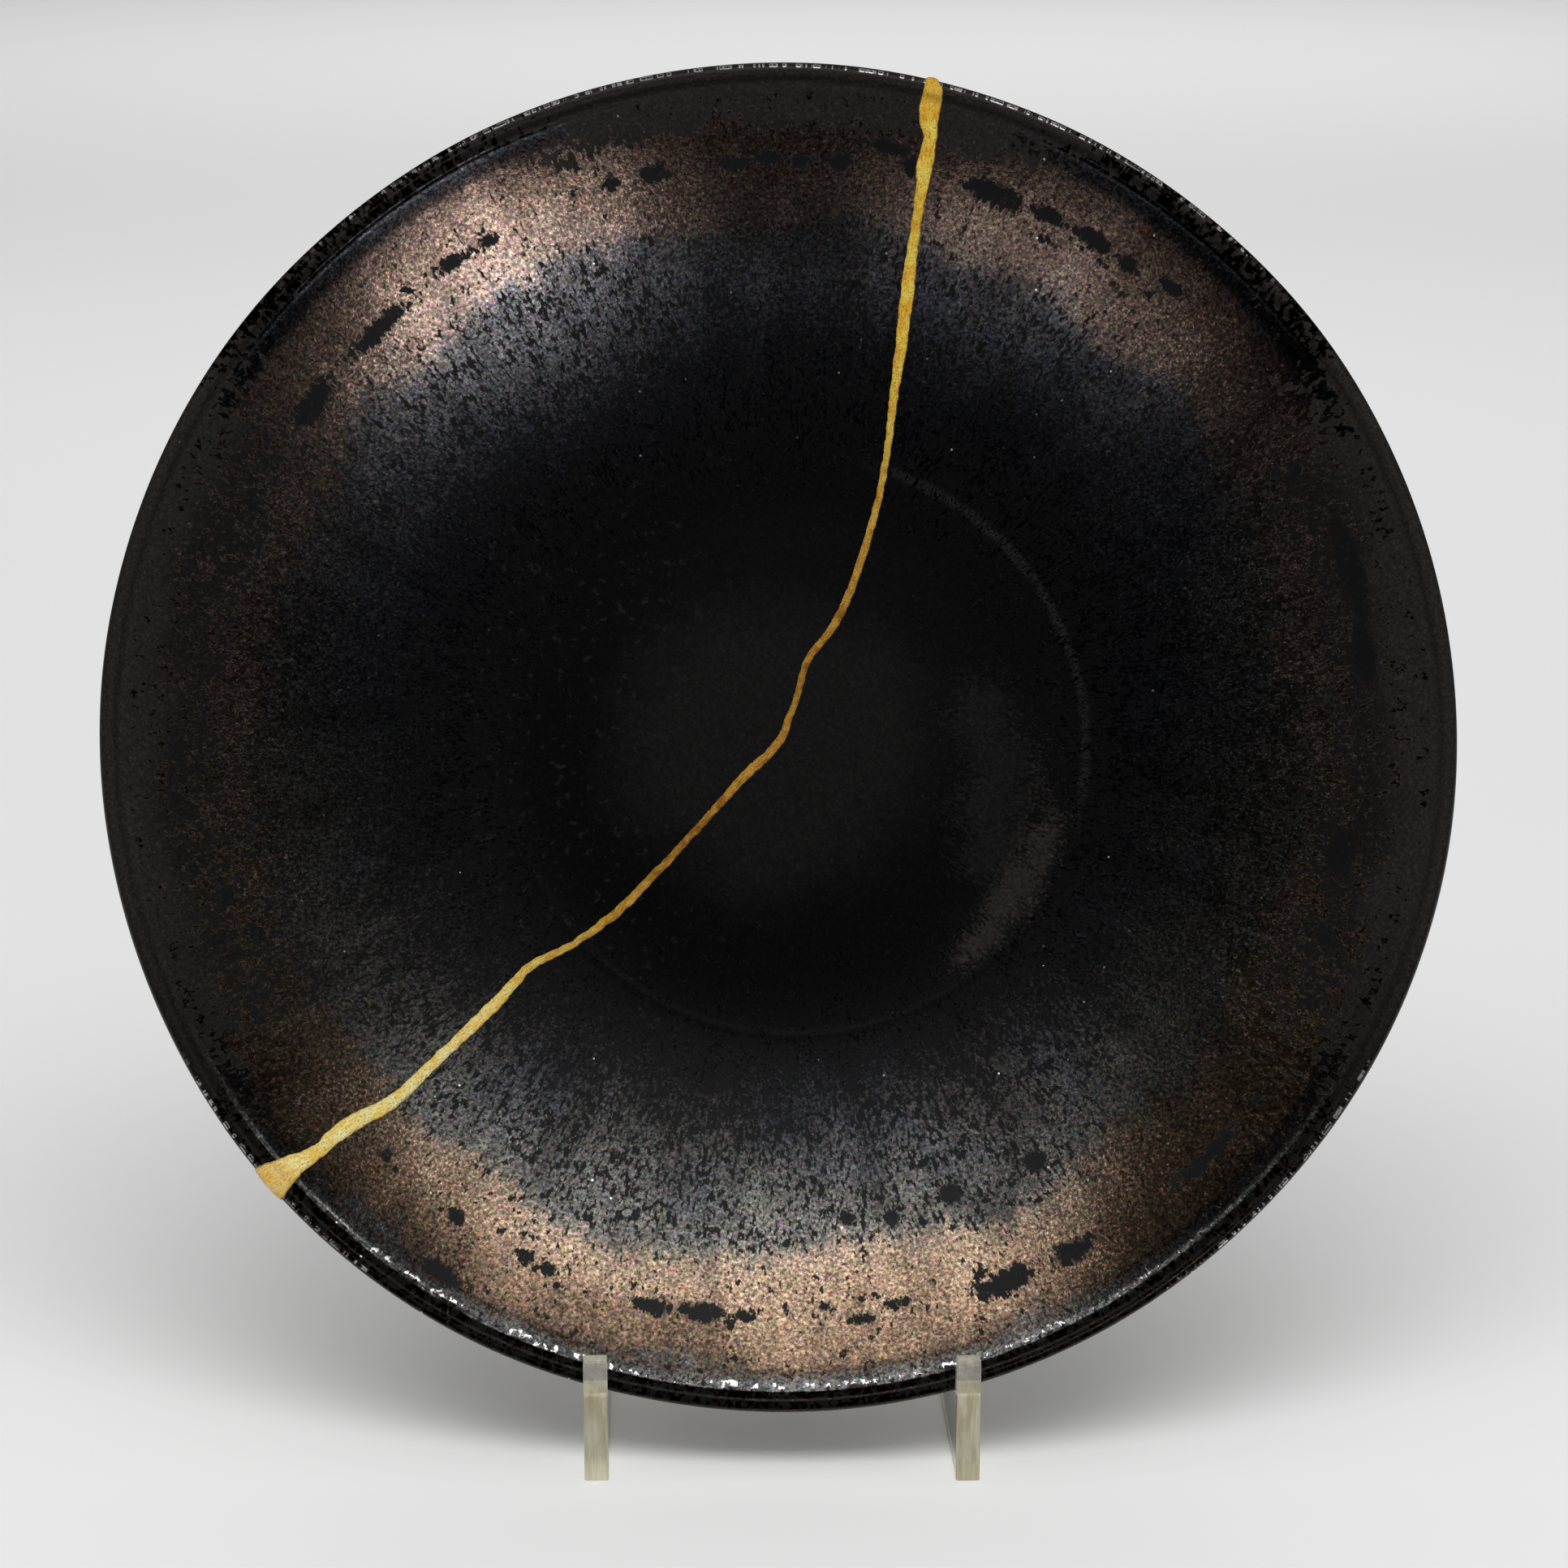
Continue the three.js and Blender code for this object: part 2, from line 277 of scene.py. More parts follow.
def plate_section():
    """Radius and height, from the middle of the foot round the rim to the middle of the well.
    A span is a start, an end and a number of points, or on the face the step between them."""
    foot_inner = FOOT_RADIUS - FOOT_WIDTH
    recess_radii = np.linspace(0, foot_inner - RECESS_DRAFT, RECESS_POINTS)
    recess = np.stack([recess_radii, np.full(RECESS_POINTS, RECESS_HEIGHT)], -1)
    foot = np.concatenate([
        arc((foot_inner + FOOT_EASE, FOOT_EASE), FOOT_EASE, 195, 270, FOOT_POINTS),
        arc((FOOT_RADIUS - FOOT_EASE, FOOT_EASE), FOOT_EASE, 270, 360, FOOT_POINTS),
    ])
    underside = back_of_wall(np.linspace(*UNDERSIDE_SPAN))
    bead = arc((RIM_RADIUS - BEAD_RADIUS, PLATE_HEIGHT - BEAD_RADIUS), BEAD_RADIUS, *BEAD_ARC)
    radii = np.concatenate([*(np.arange(*span) for span in FACE_SPANS), np.linspace(*WELL_SPAN)])
    face = np.stack([radii, dish_height(radii)], -1)
    return np.concatenate([recess, foot, underside, bead, face])


SECTION = plate_section()

# Crack in the plate's plane, from the top rim to the lower left rim: across, up, and the width
# of the gold over it

CRACK = [
    (30.6, 135.5, 1.6), (31.2, 131.0, 2.6), (31.2, 129.0, 3.9), (30.5, 124.2, 4.1),
    (30.8, 120.6, 2.8), (30.0, 116.5, 3.4), (29.0, 109.8, 2.3), (27.9, 102.5, 2.1), (26.6, 92.0, 2.8),
    (25.4, 82.0, 2.5), (23.8, 70.0, 1.8), (22.6, 60.0, 1.5), (20.3, 48.4, 1.5),
    (17.0, 37.0, 1.7), (11.8, 24.4, 1.7), (6.0, 16.3, 1.5), (3.5, 8.2, 1.4),
    (0.4, 0.1, 1.8), (-6.5, -6.9, 2.0), (-13.9, -15.2, 1.6), (-23.9, -26.0, 1.7),
    (-34.3, -36.4, 1.9), (-43.5, -42.8, 1.5), (-50.1, -46.3, 1.8), (-57.5, -54.2, 2.5),
    (-69.9, -66.8, 2.3), (-76.5, -73.5, 2.7), (-86.5, -79.5, 3.4), (-91.5, -84.1, 3.0),
    (-95.5, -86.6, 4.6), (-98.5, -88.9, 7.0), (-101.0, -91.0, 8.6),
]
CRACK_STEP = 0.45
CRACK_JITTER = 0.14
CRACK_SMOOTHING = 9
CRACK_SEED = 11


def crack_line():
    """The crack as closely spaced points, each with the width of the gold: a smooth curve
    through the stations above, with the small jogs that a break has."""
    stations = np.array(CRACK)
    lengths = np.linalg.norm(np.diff(stations[:, :2], axis=0), axis=1)
    along = np.concatenate([[0], np.cumsum(lengths)])
    slopes = np.gradient(stations, along, axis=0)
    points = []
    for index, length in enumerate(lengths):
        share = np.arange(0, 1, CRACK_STEP / length)[:, None]
        cubed, squared = share ** 3, share ** 2
        points.append(
            (2 * cubed - 3 * squared + 1) * stations[index]
            + (cubed - 2 * squared + share) * slopes[index] * length
            + (3 * squared - 2 * cubed) * stations[index + 1]
            + (cubed - squared) * slopes[index + 1] * length
        )
    line = np.concatenate(points + [stations[-1:]])
    rng = np.random.default_rng(CRACK_SEED)
    jogs = rng.normal(0, 1, (len(line), 2))
    kernel = np.hanning(CRACK_SMOOTHING) / np.hanning(CRACK_SMOOTHING).sum()
    jogs = np.stack([np.convolve(jogs[:, side], kernel, "same") for side in (0, 1)], -1)
    line[:, :2] += jogs * CRACK_JITTER
    return line


CRACK_LINE = crack_line()


def thicken(shape, face, push):
    """Draws a face out into a block."""
    grown = bmesh.ops.extrude_face_region(shape, geom=[face])
    raised = [item for item in grown["geom"] if isinstance(item, bmesh.types.BMVert)]
    bmesh.ops.translate(shape, verts=raised, vec=push)


def shard_region(name, side):
    """A tall block over one side of the crack, half a gap back from it, to part the plate with."""
    line = CRACK_LINE[:, :2]
    along = np.gradient(line, axis=0)
    along /= np.linalg.norm(along, axis=1)[:, None]
    across = np.stack([along[:, 1], -along[:, 0]], -1) * side
    edge = line + across * SHARD_GAP / 2
    far = 2 * RIM_RADIUS
    left, right = [(-far, -far), (-far, far), (0, far)], [(-far, -far), (far, -far), (far, far)]
    outline = [
        edge[0] - along[0] * PAST_RIM, *edge, edge[-1] + along[-1] * PAST_RIM,
        *(left if side > 0 else right),
    ]
    mesh = bpy.data.meshes.new(name)
    shape = bmesh.new()
    face = shape.faces.new([shape.verts.new((x, y, -PLATE_HEIGHT / 2)) for x, y in outline])
    thicken(shape, face, (0, 0, 2 * PLATE_HEIGHT))
    bmesh.ops.triangulate(shape, faces=[f for f in shape.faces if len(f.verts) > 4])
    bmesh.ops.recalc_face_normals(shape, faces=shape.faces)
    shape.to_mesh(mesh)
    shape.free()
    return add_object(name, mesh)


def new_nodes(name, **sockets):
    """A Geometry Nodes tree with named inputs, and the identifier of each."""
    tree = bpy.data.node_groups.new(name, "GeometryNodeTree")
    tree.interface.new_socket("Geometry", in_out="OUTPUT", socket_type="NodeSocketGeometry")
    names = {}
    for key, kind in sockets.items():
        label = key.replace("_", " ").capitalize()
        socket = tree.interface.new_socket(label, in_out="INPUT", socket_type="NodeSocket" + kind)
        names[key] = socket.identifier
    given = node(tree, "NodeGroupInput")
    return tree, names, {key: given.outputs[names[key]] for key in names}


def scaled(vector, amount):
    """A vector times a number that may change from place to place."""
    inputs = {"Vector": vector, "Scale": amount}
    return node(vector.id_data, "ShaderNodeVectorMath", inputs, operation="SCALE").outputs["Vector"]


def times(first, *others):
    """Values multiplied together."""
    for other in others:
        first = calc("MULTIPLY", first, other)
    return first


def bell(value, centre, width):
    """1 at the centre, falling away to either side over the width."""
    away = calc("DIVIDE", calc("SUBTRACT", value, centre), width)
    return calc("EXPONENT", times(away, away, -1.0))


def hand_wobble_nodes():
    """The slight wander of a hand-thrown rim: an offset, out and up, that grows towards it."""
    group = bpy.data.node_groups.new("Hand wobble", "GeometryNodeTree")
    group.interface.new_socket("Amount", in_out="INPUT", socket_type="NodeSocketFloat")
    group.interface.new_socket("Offset", in_out="OUTPUT", socket_type="NodeSocketVector")
    given = node(group, "NodeGroupInput")
    flat = vector_calc("MULTIPLY", node(group, "GeometryNodeInputPosition").outputs[0], FLAT)
    spoke = vector_calc("NORMALIZE", flat)
    wander = node(group, "ShaderNodeTexNoise", {
        "Vector": spoke, "Scale": WOBBLE_TURNS, "Detail": 1.0, "Roughness": 0.4,
    })
    centred = vector_calc("SUBTRACT", wander.outputs["Color"], (0.5, 0.5, 0.5))
    outward = vector_calc("DOT_PRODUCT", centred, (2, 0, 0))
    upward = vector_calc("MULTIPLY", centred, (0, 0, 1))
    both = vector_calc("ADD", scaled(spoke, outward), upward)
    share = calc("DIVIDE", vector_calc("LENGTH", flat), RIM_RADIUS)
    amount = times(calc("POWER", share, 3.0), given.outputs["Amount"])
    node(group, "NodeGroupOutput", {"Offset": scaled(both, amount)})
    return group


HAND_WOBBLE_NODES = hand_wobble_nodes()


def shaped(geometry, kind, inputs=None, **settings):
    """Geometry after one more Geometry Node."""
    inputs = {"Geometry": geometry, **(inputs or {})}
    return node(geometry.id_data, "GeometryNode" + kind, inputs, **settings).outputs[0]


def wandering(tree, mesh, amount):
    """The mesh with the hand's wobble in it."""
    wobble = node(tree, "GeometryNodeGroup", {"Amount": amount}, node_tree=HAND_WOBBLE_NODES)
    return shaped(mesh, "SetPosition", {"Offset": wobble.outputs["Offset"]})


def end_nodes(tree, mesh, finish):
    """Ends a tree: the mesh shaded smooth, in its material, with instances made real."""
    coated = shaped(shaped(mesh, "SetShadeSmooth"), "SetMaterial", {"Material": finish})
    node(tree, "NodeGroupOutput", {"Geometry": shaped(coated, "RealizeInstances")})


def thrown_plate_nodes():
    """Turns the section round the wheel, lets it wander, raises the ring round the well, and
    keeps what lies over one side of the crack."""
    tree, names, given = new_nodes(
        "Thrown plate", section="Object", region="Object", wheel_steps="Int", rim_radius="Float",
        wobble="Float", ring_centre="Vector", ring_radius="Float", ring_width="Float",
        ring_rise="Float", glaze="Material",
    )
    wheel = node(tree, "GeometryNodeCurvePrimitiveCircle", {
        "Resolution": given["wheel_steps"], "Radius": given["rim_radius"],
    })
    section = node(tree, "GeometryNodeObjectInfo", {"Object": given["section"]})
    turned = node(tree, "GeometryNodeCurveToMesh", {
        "Curve": wheel.outputs["Curve"], "Profile Curve": section.outputs["Geometry"],
    })
    welded = shaped(turned.outputs[0], "MergeByDistance", {"Distance": MILLIMETRE})
    wobbling = wandering(tree, welded, given["wobble"])
    place = node(tree, "GeometryNodeInputPosition").outputs[0]
    reach = vector_calc("DISTANCE", vector_calc("MULTIPLY", place, FLAT), given["ring_centre"])
    raised = times(bell(reach, given["ring_radius"], given["ring_width"]), given["ring_rise"])
    height = node(tree, "ShaderNodeSeparateXYZ", {0: place}).outputs["Z"]
    on_face = node(tree, "FunctionNodeCompare", {
        0: height, 1: RECESS_HEIGHT + WALL_AT_FOOT / 2,
    }, operation="GREATER_THAN")
    ringed = shaped(wobbling, "SetPosition", {
        "Selection": on_face.outputs[0],
        "Offset": node(tree, "ShaderNodeCombineXYZ", {"Z": raised}).outputs[0],
    })
    region = node(tree, "GeometryNodeObjectInfo", {"Object": given["region"]})
    shard = node(tree, "GeometryNodeMeshBoolean", operation="INTERSECT", solver="MANIFOLD")
    for part in (ringed, region.outputs["Geometry"]):
        tree.links.new(part, shard.inputs["Mesh 2"])
    end_nodes(tree, shard.outputs["Mesh"], given["glaze"])
    return tree, names


def made_by_nodes(name, nodes, values):
    """Runs a Geometry Nodes tree and returns its result as a plain mesh."""
    tree, names = nodes
    holder = add_object(name, bpy.data.meshes.new(name))
    modifier = holder.modifiers.new(name, "NODES")
    modifier.node_group = tree
    for key, value in values.items():
        modifier[names[key]] = value
    evaluated = holder.evaluated_get(bpy.context.evaluated_depsgraph_get())
    mesh = bpy.data.meshes.new_from_object(evaluated)
    bpy.data.objects.remove(holder)
    return mesh


def section_curve():
    """The section as a curve, measured from the rim radius, as the wheel sweeps it."""
    curve = bpy.data.curves.new("Plate section", "CURVE")
    curve.dimensions = "3D"
    line = curve.splines.new("POLY")
    line.points.add(len(SECTION) - 1)
    for point, (radius, height) in zip(line.points, SECTION[::-1]):
        point.co = (radius - RIM_RADIUS, -height, 0, 1)
    return add_object("Plate section", curve)


# Glaze: an iron-saturated black, pooled smooth in the well, that ran down the wall in fine
# streaks and took a metallic skin in the kiln, steel grey lower down and bronze towards the rim.
# The skin's colours, cover and roughness go by the share of the rim's radius.

SKIN_COLOURS = [
    (0.00, (0.010, 0.010, 0.010)),
    (0.42, (0.016, 0.016, 0.017)),
    (0.50, (0.021, 0.021, 0.023)),
    (0.60, (0.046, 0.046, 0.050)),
    (0.70, (0.098, 0.098, 0.100)),
    (0.77, (0.150, 0.147, 0.143)),
    (0.80, (0.32, 0.242, 0.19)),
    (0.85, (0.34, 0.246, 0.182)),
    (0.905, (0.28, 0.195, 0.142)),
    (0.94, (0.17, 0.122, 0.095)),
    (0.953, (0.11, 0.108, 0.11)),
    (0.967, (0.17, 0.175, 0.185)),
    (0.972, (0.03, 0.024, 0.020)),
    (1.00, (0.03, 0.022, 0.017)),
]
SKIN_BARE_BELOW = [
    (0.00, 0.80), (0.24, 0.80), (0.34, 0.62), (0.45, 0.57), (0.52, 0.52), (0.64, 0.485), (0.76, 0.46),
    (0.79, 0.42), (0.86, 0.40), (0.93, 0.41), (0.966, 0.40), (0.973, 0.52), (1.0, 0.50),
]
SKIN_ROUGHNESS = [
    (0.0, 0.40), (0.3, 0.32), (0.6, 0.26), (0.76, 0.21), (0.79, 0.16), (0.93, 0.17), (1.0, 0.17),
]
GLAZE_ROUGHNESS = 0.30
GLINT_ROUGHNESS = 0.16
GLAZE_SPECULAR = 0.15
GLAZE_RELIEF = 0.00002
WARM_LOW = (1.0, 0.97, 0.90, 1)
ROSY_HIGH = (0.94, 0.93, 1.02, 1)
COLD = (0.92, 0.96, 1.08, 1)
SATIN_MIDDLE = (0.0066, 0.0062, 0.0060, 1)
WELL_BLACK = (0.0015, 0.0015, 0.0016, 1)
WALL_BLACK = (0.0027, 0.0027, 0.0029, 1)
WALL_BROWN = (0.0090, 0.0074, 0.0063, 1)
RIM_LOW = (0.0060, 0.0055, 0.0052, 1)
RIM_HIGH = (0.0175, 0.0148, 0.0130, 1)
POOL_BLACK = (0.0048, 0.0048, 0.0054, 1)
DOT_GREY = (0.013, 0.013, 0.014, 1)
PAINTED_REFLECTION_INNER = (0.0068, 0.0066, 0.0066, 1)
PAINTED_REFLECTION_OUTER = (0.0185, 0.0150, 0.0132, 1)
RING_PAINTED_HIGHLIGHT = (0.013, 0.0125, 0.012, 1)
BACK_BROWN = (0.012, 0.0098, 0.0085, 1)
RUST = (0.20, 0.05, 0.022, 1)
GLINT = (0.82, 0.80, 0.80, 1)
CLAY_DARK = (0.15, 0.072, 0.040, 1)
CLAY_LIGHT = (0.30, 0.17, 0.10, 1)
CLAY_IRON = (0.05, 0.028, 0.020, 1)
CLAY_SAND = (0.46, 0.33, 0.23, 1)
POOL_ROW = 116.8
POOL_ROW_WIDTH = 2.6
RUST_SPECK = (74.3, 101.5, 0.0)
CRYSTALS_PER_MM = 0.22
CRYSTAL_RADIUS = 0.24


def spoke_at(degrees):
    """The direction outwards at an angle round the plate, counted from its right."""
    return (math.cos(math.radians(degrees)), math.sin(math.radians(degrees)), 0.0)


# Stretches of the rim and wall where shade is painted into the skin to dim it, with the cosines
# that it fades in between, the radius that it starts at and the loss; where the skin goes on over
# the rim; where a painted highlight runs along the ring round the well; and where painted glints
# go along the bead's crest

SKIN_PAINTED_SHADE = [(spoke_at(76), 0.80, 0.96, 93.0, 0.36), (spoke_at(-112), 0.93, 0.985, 112.0, 0.45)]
SKIN_OVER_RIM = [spoke_at(133), spoke_at(44)]
RING_PAINTED_HIGHLIGHT_SIDE = spoke_at(28)
CREST_PAINTED_GLINTS = spoke_at(88)


def noise(vector, scale=1.0, detail=3, roughness=0.6, output="Fac"):
    """A cloud pattern, about 0.5 on average."""
    return node(vector.id_data, "ShaderNodeTexNoise", {
        "Vector": vector, "Scale": scale, "Detail": detail, "Roughness": roughness,
    }).outputs[output]


def rise(value, start, end):
    """0 at the start value, 1 at the end one, and a smooth step between. Either may be larger."""
    return node(value.id_data, "ShaderNodeMapRange", {
        "Value": value, "From Min": start, "From Max": end,
    }, interpolation_type="SMOOTHSTEP").outputs["Result"]


def swayed(value, pattern, amount):
    """A value moved up and down by a cloud pattern, so far from one end of it to the other."""
    return calc("MULTIPLY_ADD", calc("SUBTRACT", pattern, 0.5), amount, value)


def without(value, mask):
    """A value, less where the mask covers it."""
    return times(value, calc("SUBTRACT", 1.0, mask))


def dot(vector, direction):
    """How much of a vector points in the direction."""
    return vector_calc("DOT_PRODUCT", vector, direction)


def blend(amount, first, second):
    """One colour or the other, by an amount from 0 to 1."""
    tree = tree_of(amount, first, second)
    return node(tree, "ShaderNodeMix", {0: amount, 6: first, 7: second}, data_type="RGBA").outputs[2]


def ramp(value, stops):
    """Colours, or plain levels, by a value from 0 to 1."""
    made = node(value.id_data, "ShaderNodeValToRGB", {"Fac": value})
    band = made.color_ramp
    for _ in stops[2:]:
        band.elements.new(1.0)
    for element, (place, level) in zip(band.elements, stops):
        element.position = place
        element.color = (*(level if isinstance(level, tuple) else (level,) * 3), 1)
    return made.outputs["Color"]


def bump(height, distance, strength=1.0):
    """Low relief in a surface, its depth in metres."""
    return node(height.id_data, "ShaderNodeBump", {
        "Strength": strength, "Distance": distance, "Height": height,
    }).outputs[0]


def plate_place_group():
    """Where a point lies on the plate, in millimetres: its place, its distance from the axis
    and the spoke it lies on."""
    group = bpy.data.node_groups.new("Place on the plate", "ShaderNodeTree")
    for label, kind in (("Place", "Vector"), ("Radius", "Float"), ("Spoke", "Vector")):
        group.interface.new_socket(label, in_out="OUTPUT", socket_type="NodeSocket" + kind)
    placed = node(group, "ShaderNodeMapping", {
        "Vector": node(group, "ShaderNodeTexCoord").outputs["Object"],
        "Location": AXIS_ORIGIN,
        "Rotation": (math.pi / 2 - LEAN, 0, 0),
        "Scale": (MILLIMETRE,) * 3,
    }, vector_type="TEXTURE").outputs[0]
    flat = vector_calc("MULTIPLY", placed, FLAT)
    node(group, "NodeGroupOutput", {
        "Place": placed, "Radius": vector_calc("LENGTH", flat), "Spoke": vector_calc("NORMALIZE", flat),
    })
    return group


PLATE_PLACE = plate_place_group()


def along_spokes(spoke, radius, around, outwards, offset=0.0):
    """Coordinates for streaks: so many cells to a radian round the plate, and to a millimetre
    outwards."""
    run = calc("MULTIPLY_ADD", radius, outwards, offset)
    up = node(spoke.id_data, "ShaderNodeCombineXYZ", {"Z": run}).outputs[0]
    return vector_calc("ADD", scaled(spoke, around), up)


def mark(tree, name):
    """A value painted on the mesh."""
    return node(tree, "ShaderNodeAttribute", attribute_name=name).outputs["Fac"]


def glaze_patterns(tree):
    """What the glaze's colours share: places in millimetres, cloud patterns, and how far out a
    point counts as being, because the zones' edges wander and are ragged with streaks."""
    place = node(tree, "ShaderNodeGroup", node_tree=PLATE_PLACE).outputs
    spot, radius, spoke = place["Place"], place["Radius"], place["Spoke"]
    across, up, height = node(tree, "ShaderNodeSeparateXYZ", {0: spot}).outputs
    mottle = noise(spot, 0.22)
    grain = noise(spot, 1.4, 3, 0.75)
    fleck = noise(along_spokes(spoke, radius, 108, 0.62))
    streak = noise(along_spokes(spoke, radius, 60, 0.08, 40))
    mixed = calc("MULTIPLY_ADD", mottle, 0.3, times(fleck, 0.7))
    wander = swayed(radius, noise(spot, 0.035, 2, 0.55), 17.0)
    on_rim = rise(radius, 126.0, 128.0)
    waved = swayed(swayed(radius, mottle, 4.0), fleck, 3.0)
    settled = mix(on_rim, swayed(swayed(wander, streak, 11.0), fleck, 6.0), waved)

    # Pools of bare black glaze: the painted ones, and smaller ones in the same row
    strewn = times(bell(wander, POOL_ROW, POOL_ROW_WIDTH), rise(noise(spot, 0.16, 4, 0.65), 0.48, 0.66))
    pools = calc("MAXIMUM", mark(tree, "pools"), times(strewn, 0.74))
    pools = swayed(swayed(pools, mixed, 2.4), grain, 0.7)
    # The painted reflection in the well: lighter, dull patches with ragged edges
    painted_reflection_amount = swayed(swayed(mark(tree, "painted_reflection"), mixed, 3.0), grain, 1.2)
    # Painted shade: on the left and right of the wall the skin is thinner and dimmer
    beside = rise(calc("ABSOLUTE", dot(spoke, (1, 0, 0))), 0.78, 0.92)
    return SimpleNamespace(
        spot=spot, flat=vector_calc("MULTIPLY", spot, FLAT), radius=radius, spoke=spoke,
        across=across, up=up, height=height, low=rise(up, -30.0, -95.0), on_rim=on_rim,
        painted_side_shade=times(beside, rise(radius, 100.0, 118.0)), back=mark(tree, "back"),
        mottle=mottle, grain=grain, mixed=mixed, speckle=times(calc("POWER", grain, 3.4), 8.5),
        wander=wander, waved=waved, settled=settled, reach=calc("DIVIDE", settled, RIM_RADIUS),
        pooled=rise(pools, 0.44, 0.56), painted_reflection_amount=rise(painted_reflection_amount, 0.15, 0.85),
    )


def skin_cover(at):
    """How much of the black the metallic skin covers: flecked, thinner over most of the rim and,
    as painted shade, on the left and right of the wall, and none where black pooled, under the
    painted reflection in the well or, nearly, on the back."""
    smooth = without(rise(at.radius, 119.0, 126.5), at.low)
    kept = calc("MAXIMUM", *[dot(at.spoke, stretch) for stretch in SKIN_OVER_RIM])
    smooth = times(smooth, rise(kept, 0.98, 0.88))
    # Painted shade thins the skin on the left and right of the wall
    smooth = calc("MAXIMUM", smooth, times(at.painted_side_shade, 0.85))
    bare_below = calc("MULTIPLY_ADD", smooth, 0.20, ramp(at.reach, SKIN_BARE_BELOW))
    cover = rise(calc("SUBTRACT", at.mixed, bare_below), -0.035, 0.030)
    bare = calc("MAXIMUM", at.pooled, times(at.back, 0.85))
    return without(without(cover, bare), at.painted_reflection_amount)


def skin_colour(at):
    """The metallic skin: speckled, with a broad sheen along the spokes, dimmed by painted shade on
    the left and right of the wall and on the stretches listed for it, warmer low on the plate and
    colder in patches of the grey."""
    # Painted shade flattens and dims the skin's speckle on the left and right of the wall
    bright = mix(times(at.painted_side_shade, 0.8), at.speckle, 0.6)
    sheen = noise(along_spokes(at.spoke, at.radius, 11, 0.045, 80))
    bright = times(bright, calc("MULTIPLY_ADD", sheen, 1.9, 0.05))
    # Painted shade: the skin is dimmed on the stretches listed for it
    for stretch, outside, inside, start, loss in SKIN_PAINTED_SHADE:
        dim = times(rise(at.radius, start, start + 9.0), rise(dot(at.spoke, stretch), outside, inside))
        bright = times(bright, calc("MULTIPLY_ADD", dim, -loss, 1.0))
    skin = ramp(at.reach, SKIN_COLOURS)
    hue = scaled(noise(at.spot, 0.7, 3, 0.65, "Color"), 2.0)
    skin = blend(0.4, skin, vector_calc("MULTIPLY", skin, hue))
    height_tint = blend(rise(at.up, -30.0, 60.0), WARM_LOW, ROSY_HIGH)
    cold = times(rise(noise(at.spot, 0.045, 2, 0.5), 0.48, 0.64), rise(at.radius, 106.0, 96.0))
    for tint in (height_tint, blend(cold, WHITE, COLD)):
        skin = vector_calc("MULTIPLY", skin, tint)
    margin = times(rise(at.settled, 126.8, 128.2), at.low)
    dimmed = mix(at.on_rim, 1.0, calc("MULTIPLY_ADD", margin, 0.65, 0.35))
    return scaled(skin, times(bright, dimmed))


def bare_colour(at):
    """Bare glaze: satin in the middle of the well, black round it and browner up the wall, with
    a painted reflection on the right of the well, a lighter dull crescent and patches, and a
    faint painted highlight along the ring there."""
    bare = blend(rise(swayed(at.wander, at.mottle, 14.0), 20.0, 42.0), SATIN_MIDDLE, WELL_BLACK)
    bare = blend(rise(at.wander, 46.0, 66.0), bare, WALL_BLACK)
    bare = blend(rise(at.wander, 84.0, 118.0), bare, WALL_BROWN)
    rim = blend(rise(at.up, -95.0, -20.0), RIM_LOW, RIM_HIGH)
    bare = blend(rise(at.wander, 119.0, 127.0), bare, rim)
    bare = scaled(bare, calc("MULTIPLY_ADD", at.speckle, 0.40, 0.45))
    bare = blend(at.pooled, bare, POOL_BLACK)
    dots = times(rise(noise(at.spot, 0.5, 2), 0.60, 0.70), rise(at.across, 5.0, -35.0), 0.45)
    bare = blend(dots, bare, DOT_GREY)
    # Painted reflection: lighter, dull glaze where a lamp's soft reflection falls in the well
    painted_reflection = blend(rise(at.radius, 51.0, 56.0), PAINTED_REFLECTION_INNER, PAINTED_REFLECTION_OUTER)
    painted_reflection = scaled(painted_reflection, calc("MULTIPLY_ADD", at.speckle, 0.5, 0.4))
    bare = blend(times(at.painted_reflection_amount, 0.9), bare, painted_reflection)
    # Painted highlight: a lighter line along the ring round the well, on the side where a lamp catches its
    # ridge
    off_ring = calc("SUBTRACT", vector_calc("DISTANCE", at.flat, RING_CENTRE), RING_RADIUS)
    line = rise(calc("ABSOLUTE", swayed(off_ring, at.mottle, 2.0)), 1.5, 0.3)
    line = times(line, rise(dot(at.spoke, RING_PAINTED_HIGHLIGHT_SIDE), 0.66, 0.84), rise(at.mixed, 0.42, 0.54))
    return blend(at.back, blend(line, bare, RING_PAINTED_HIGHLIGHT), BACK_BROWN)


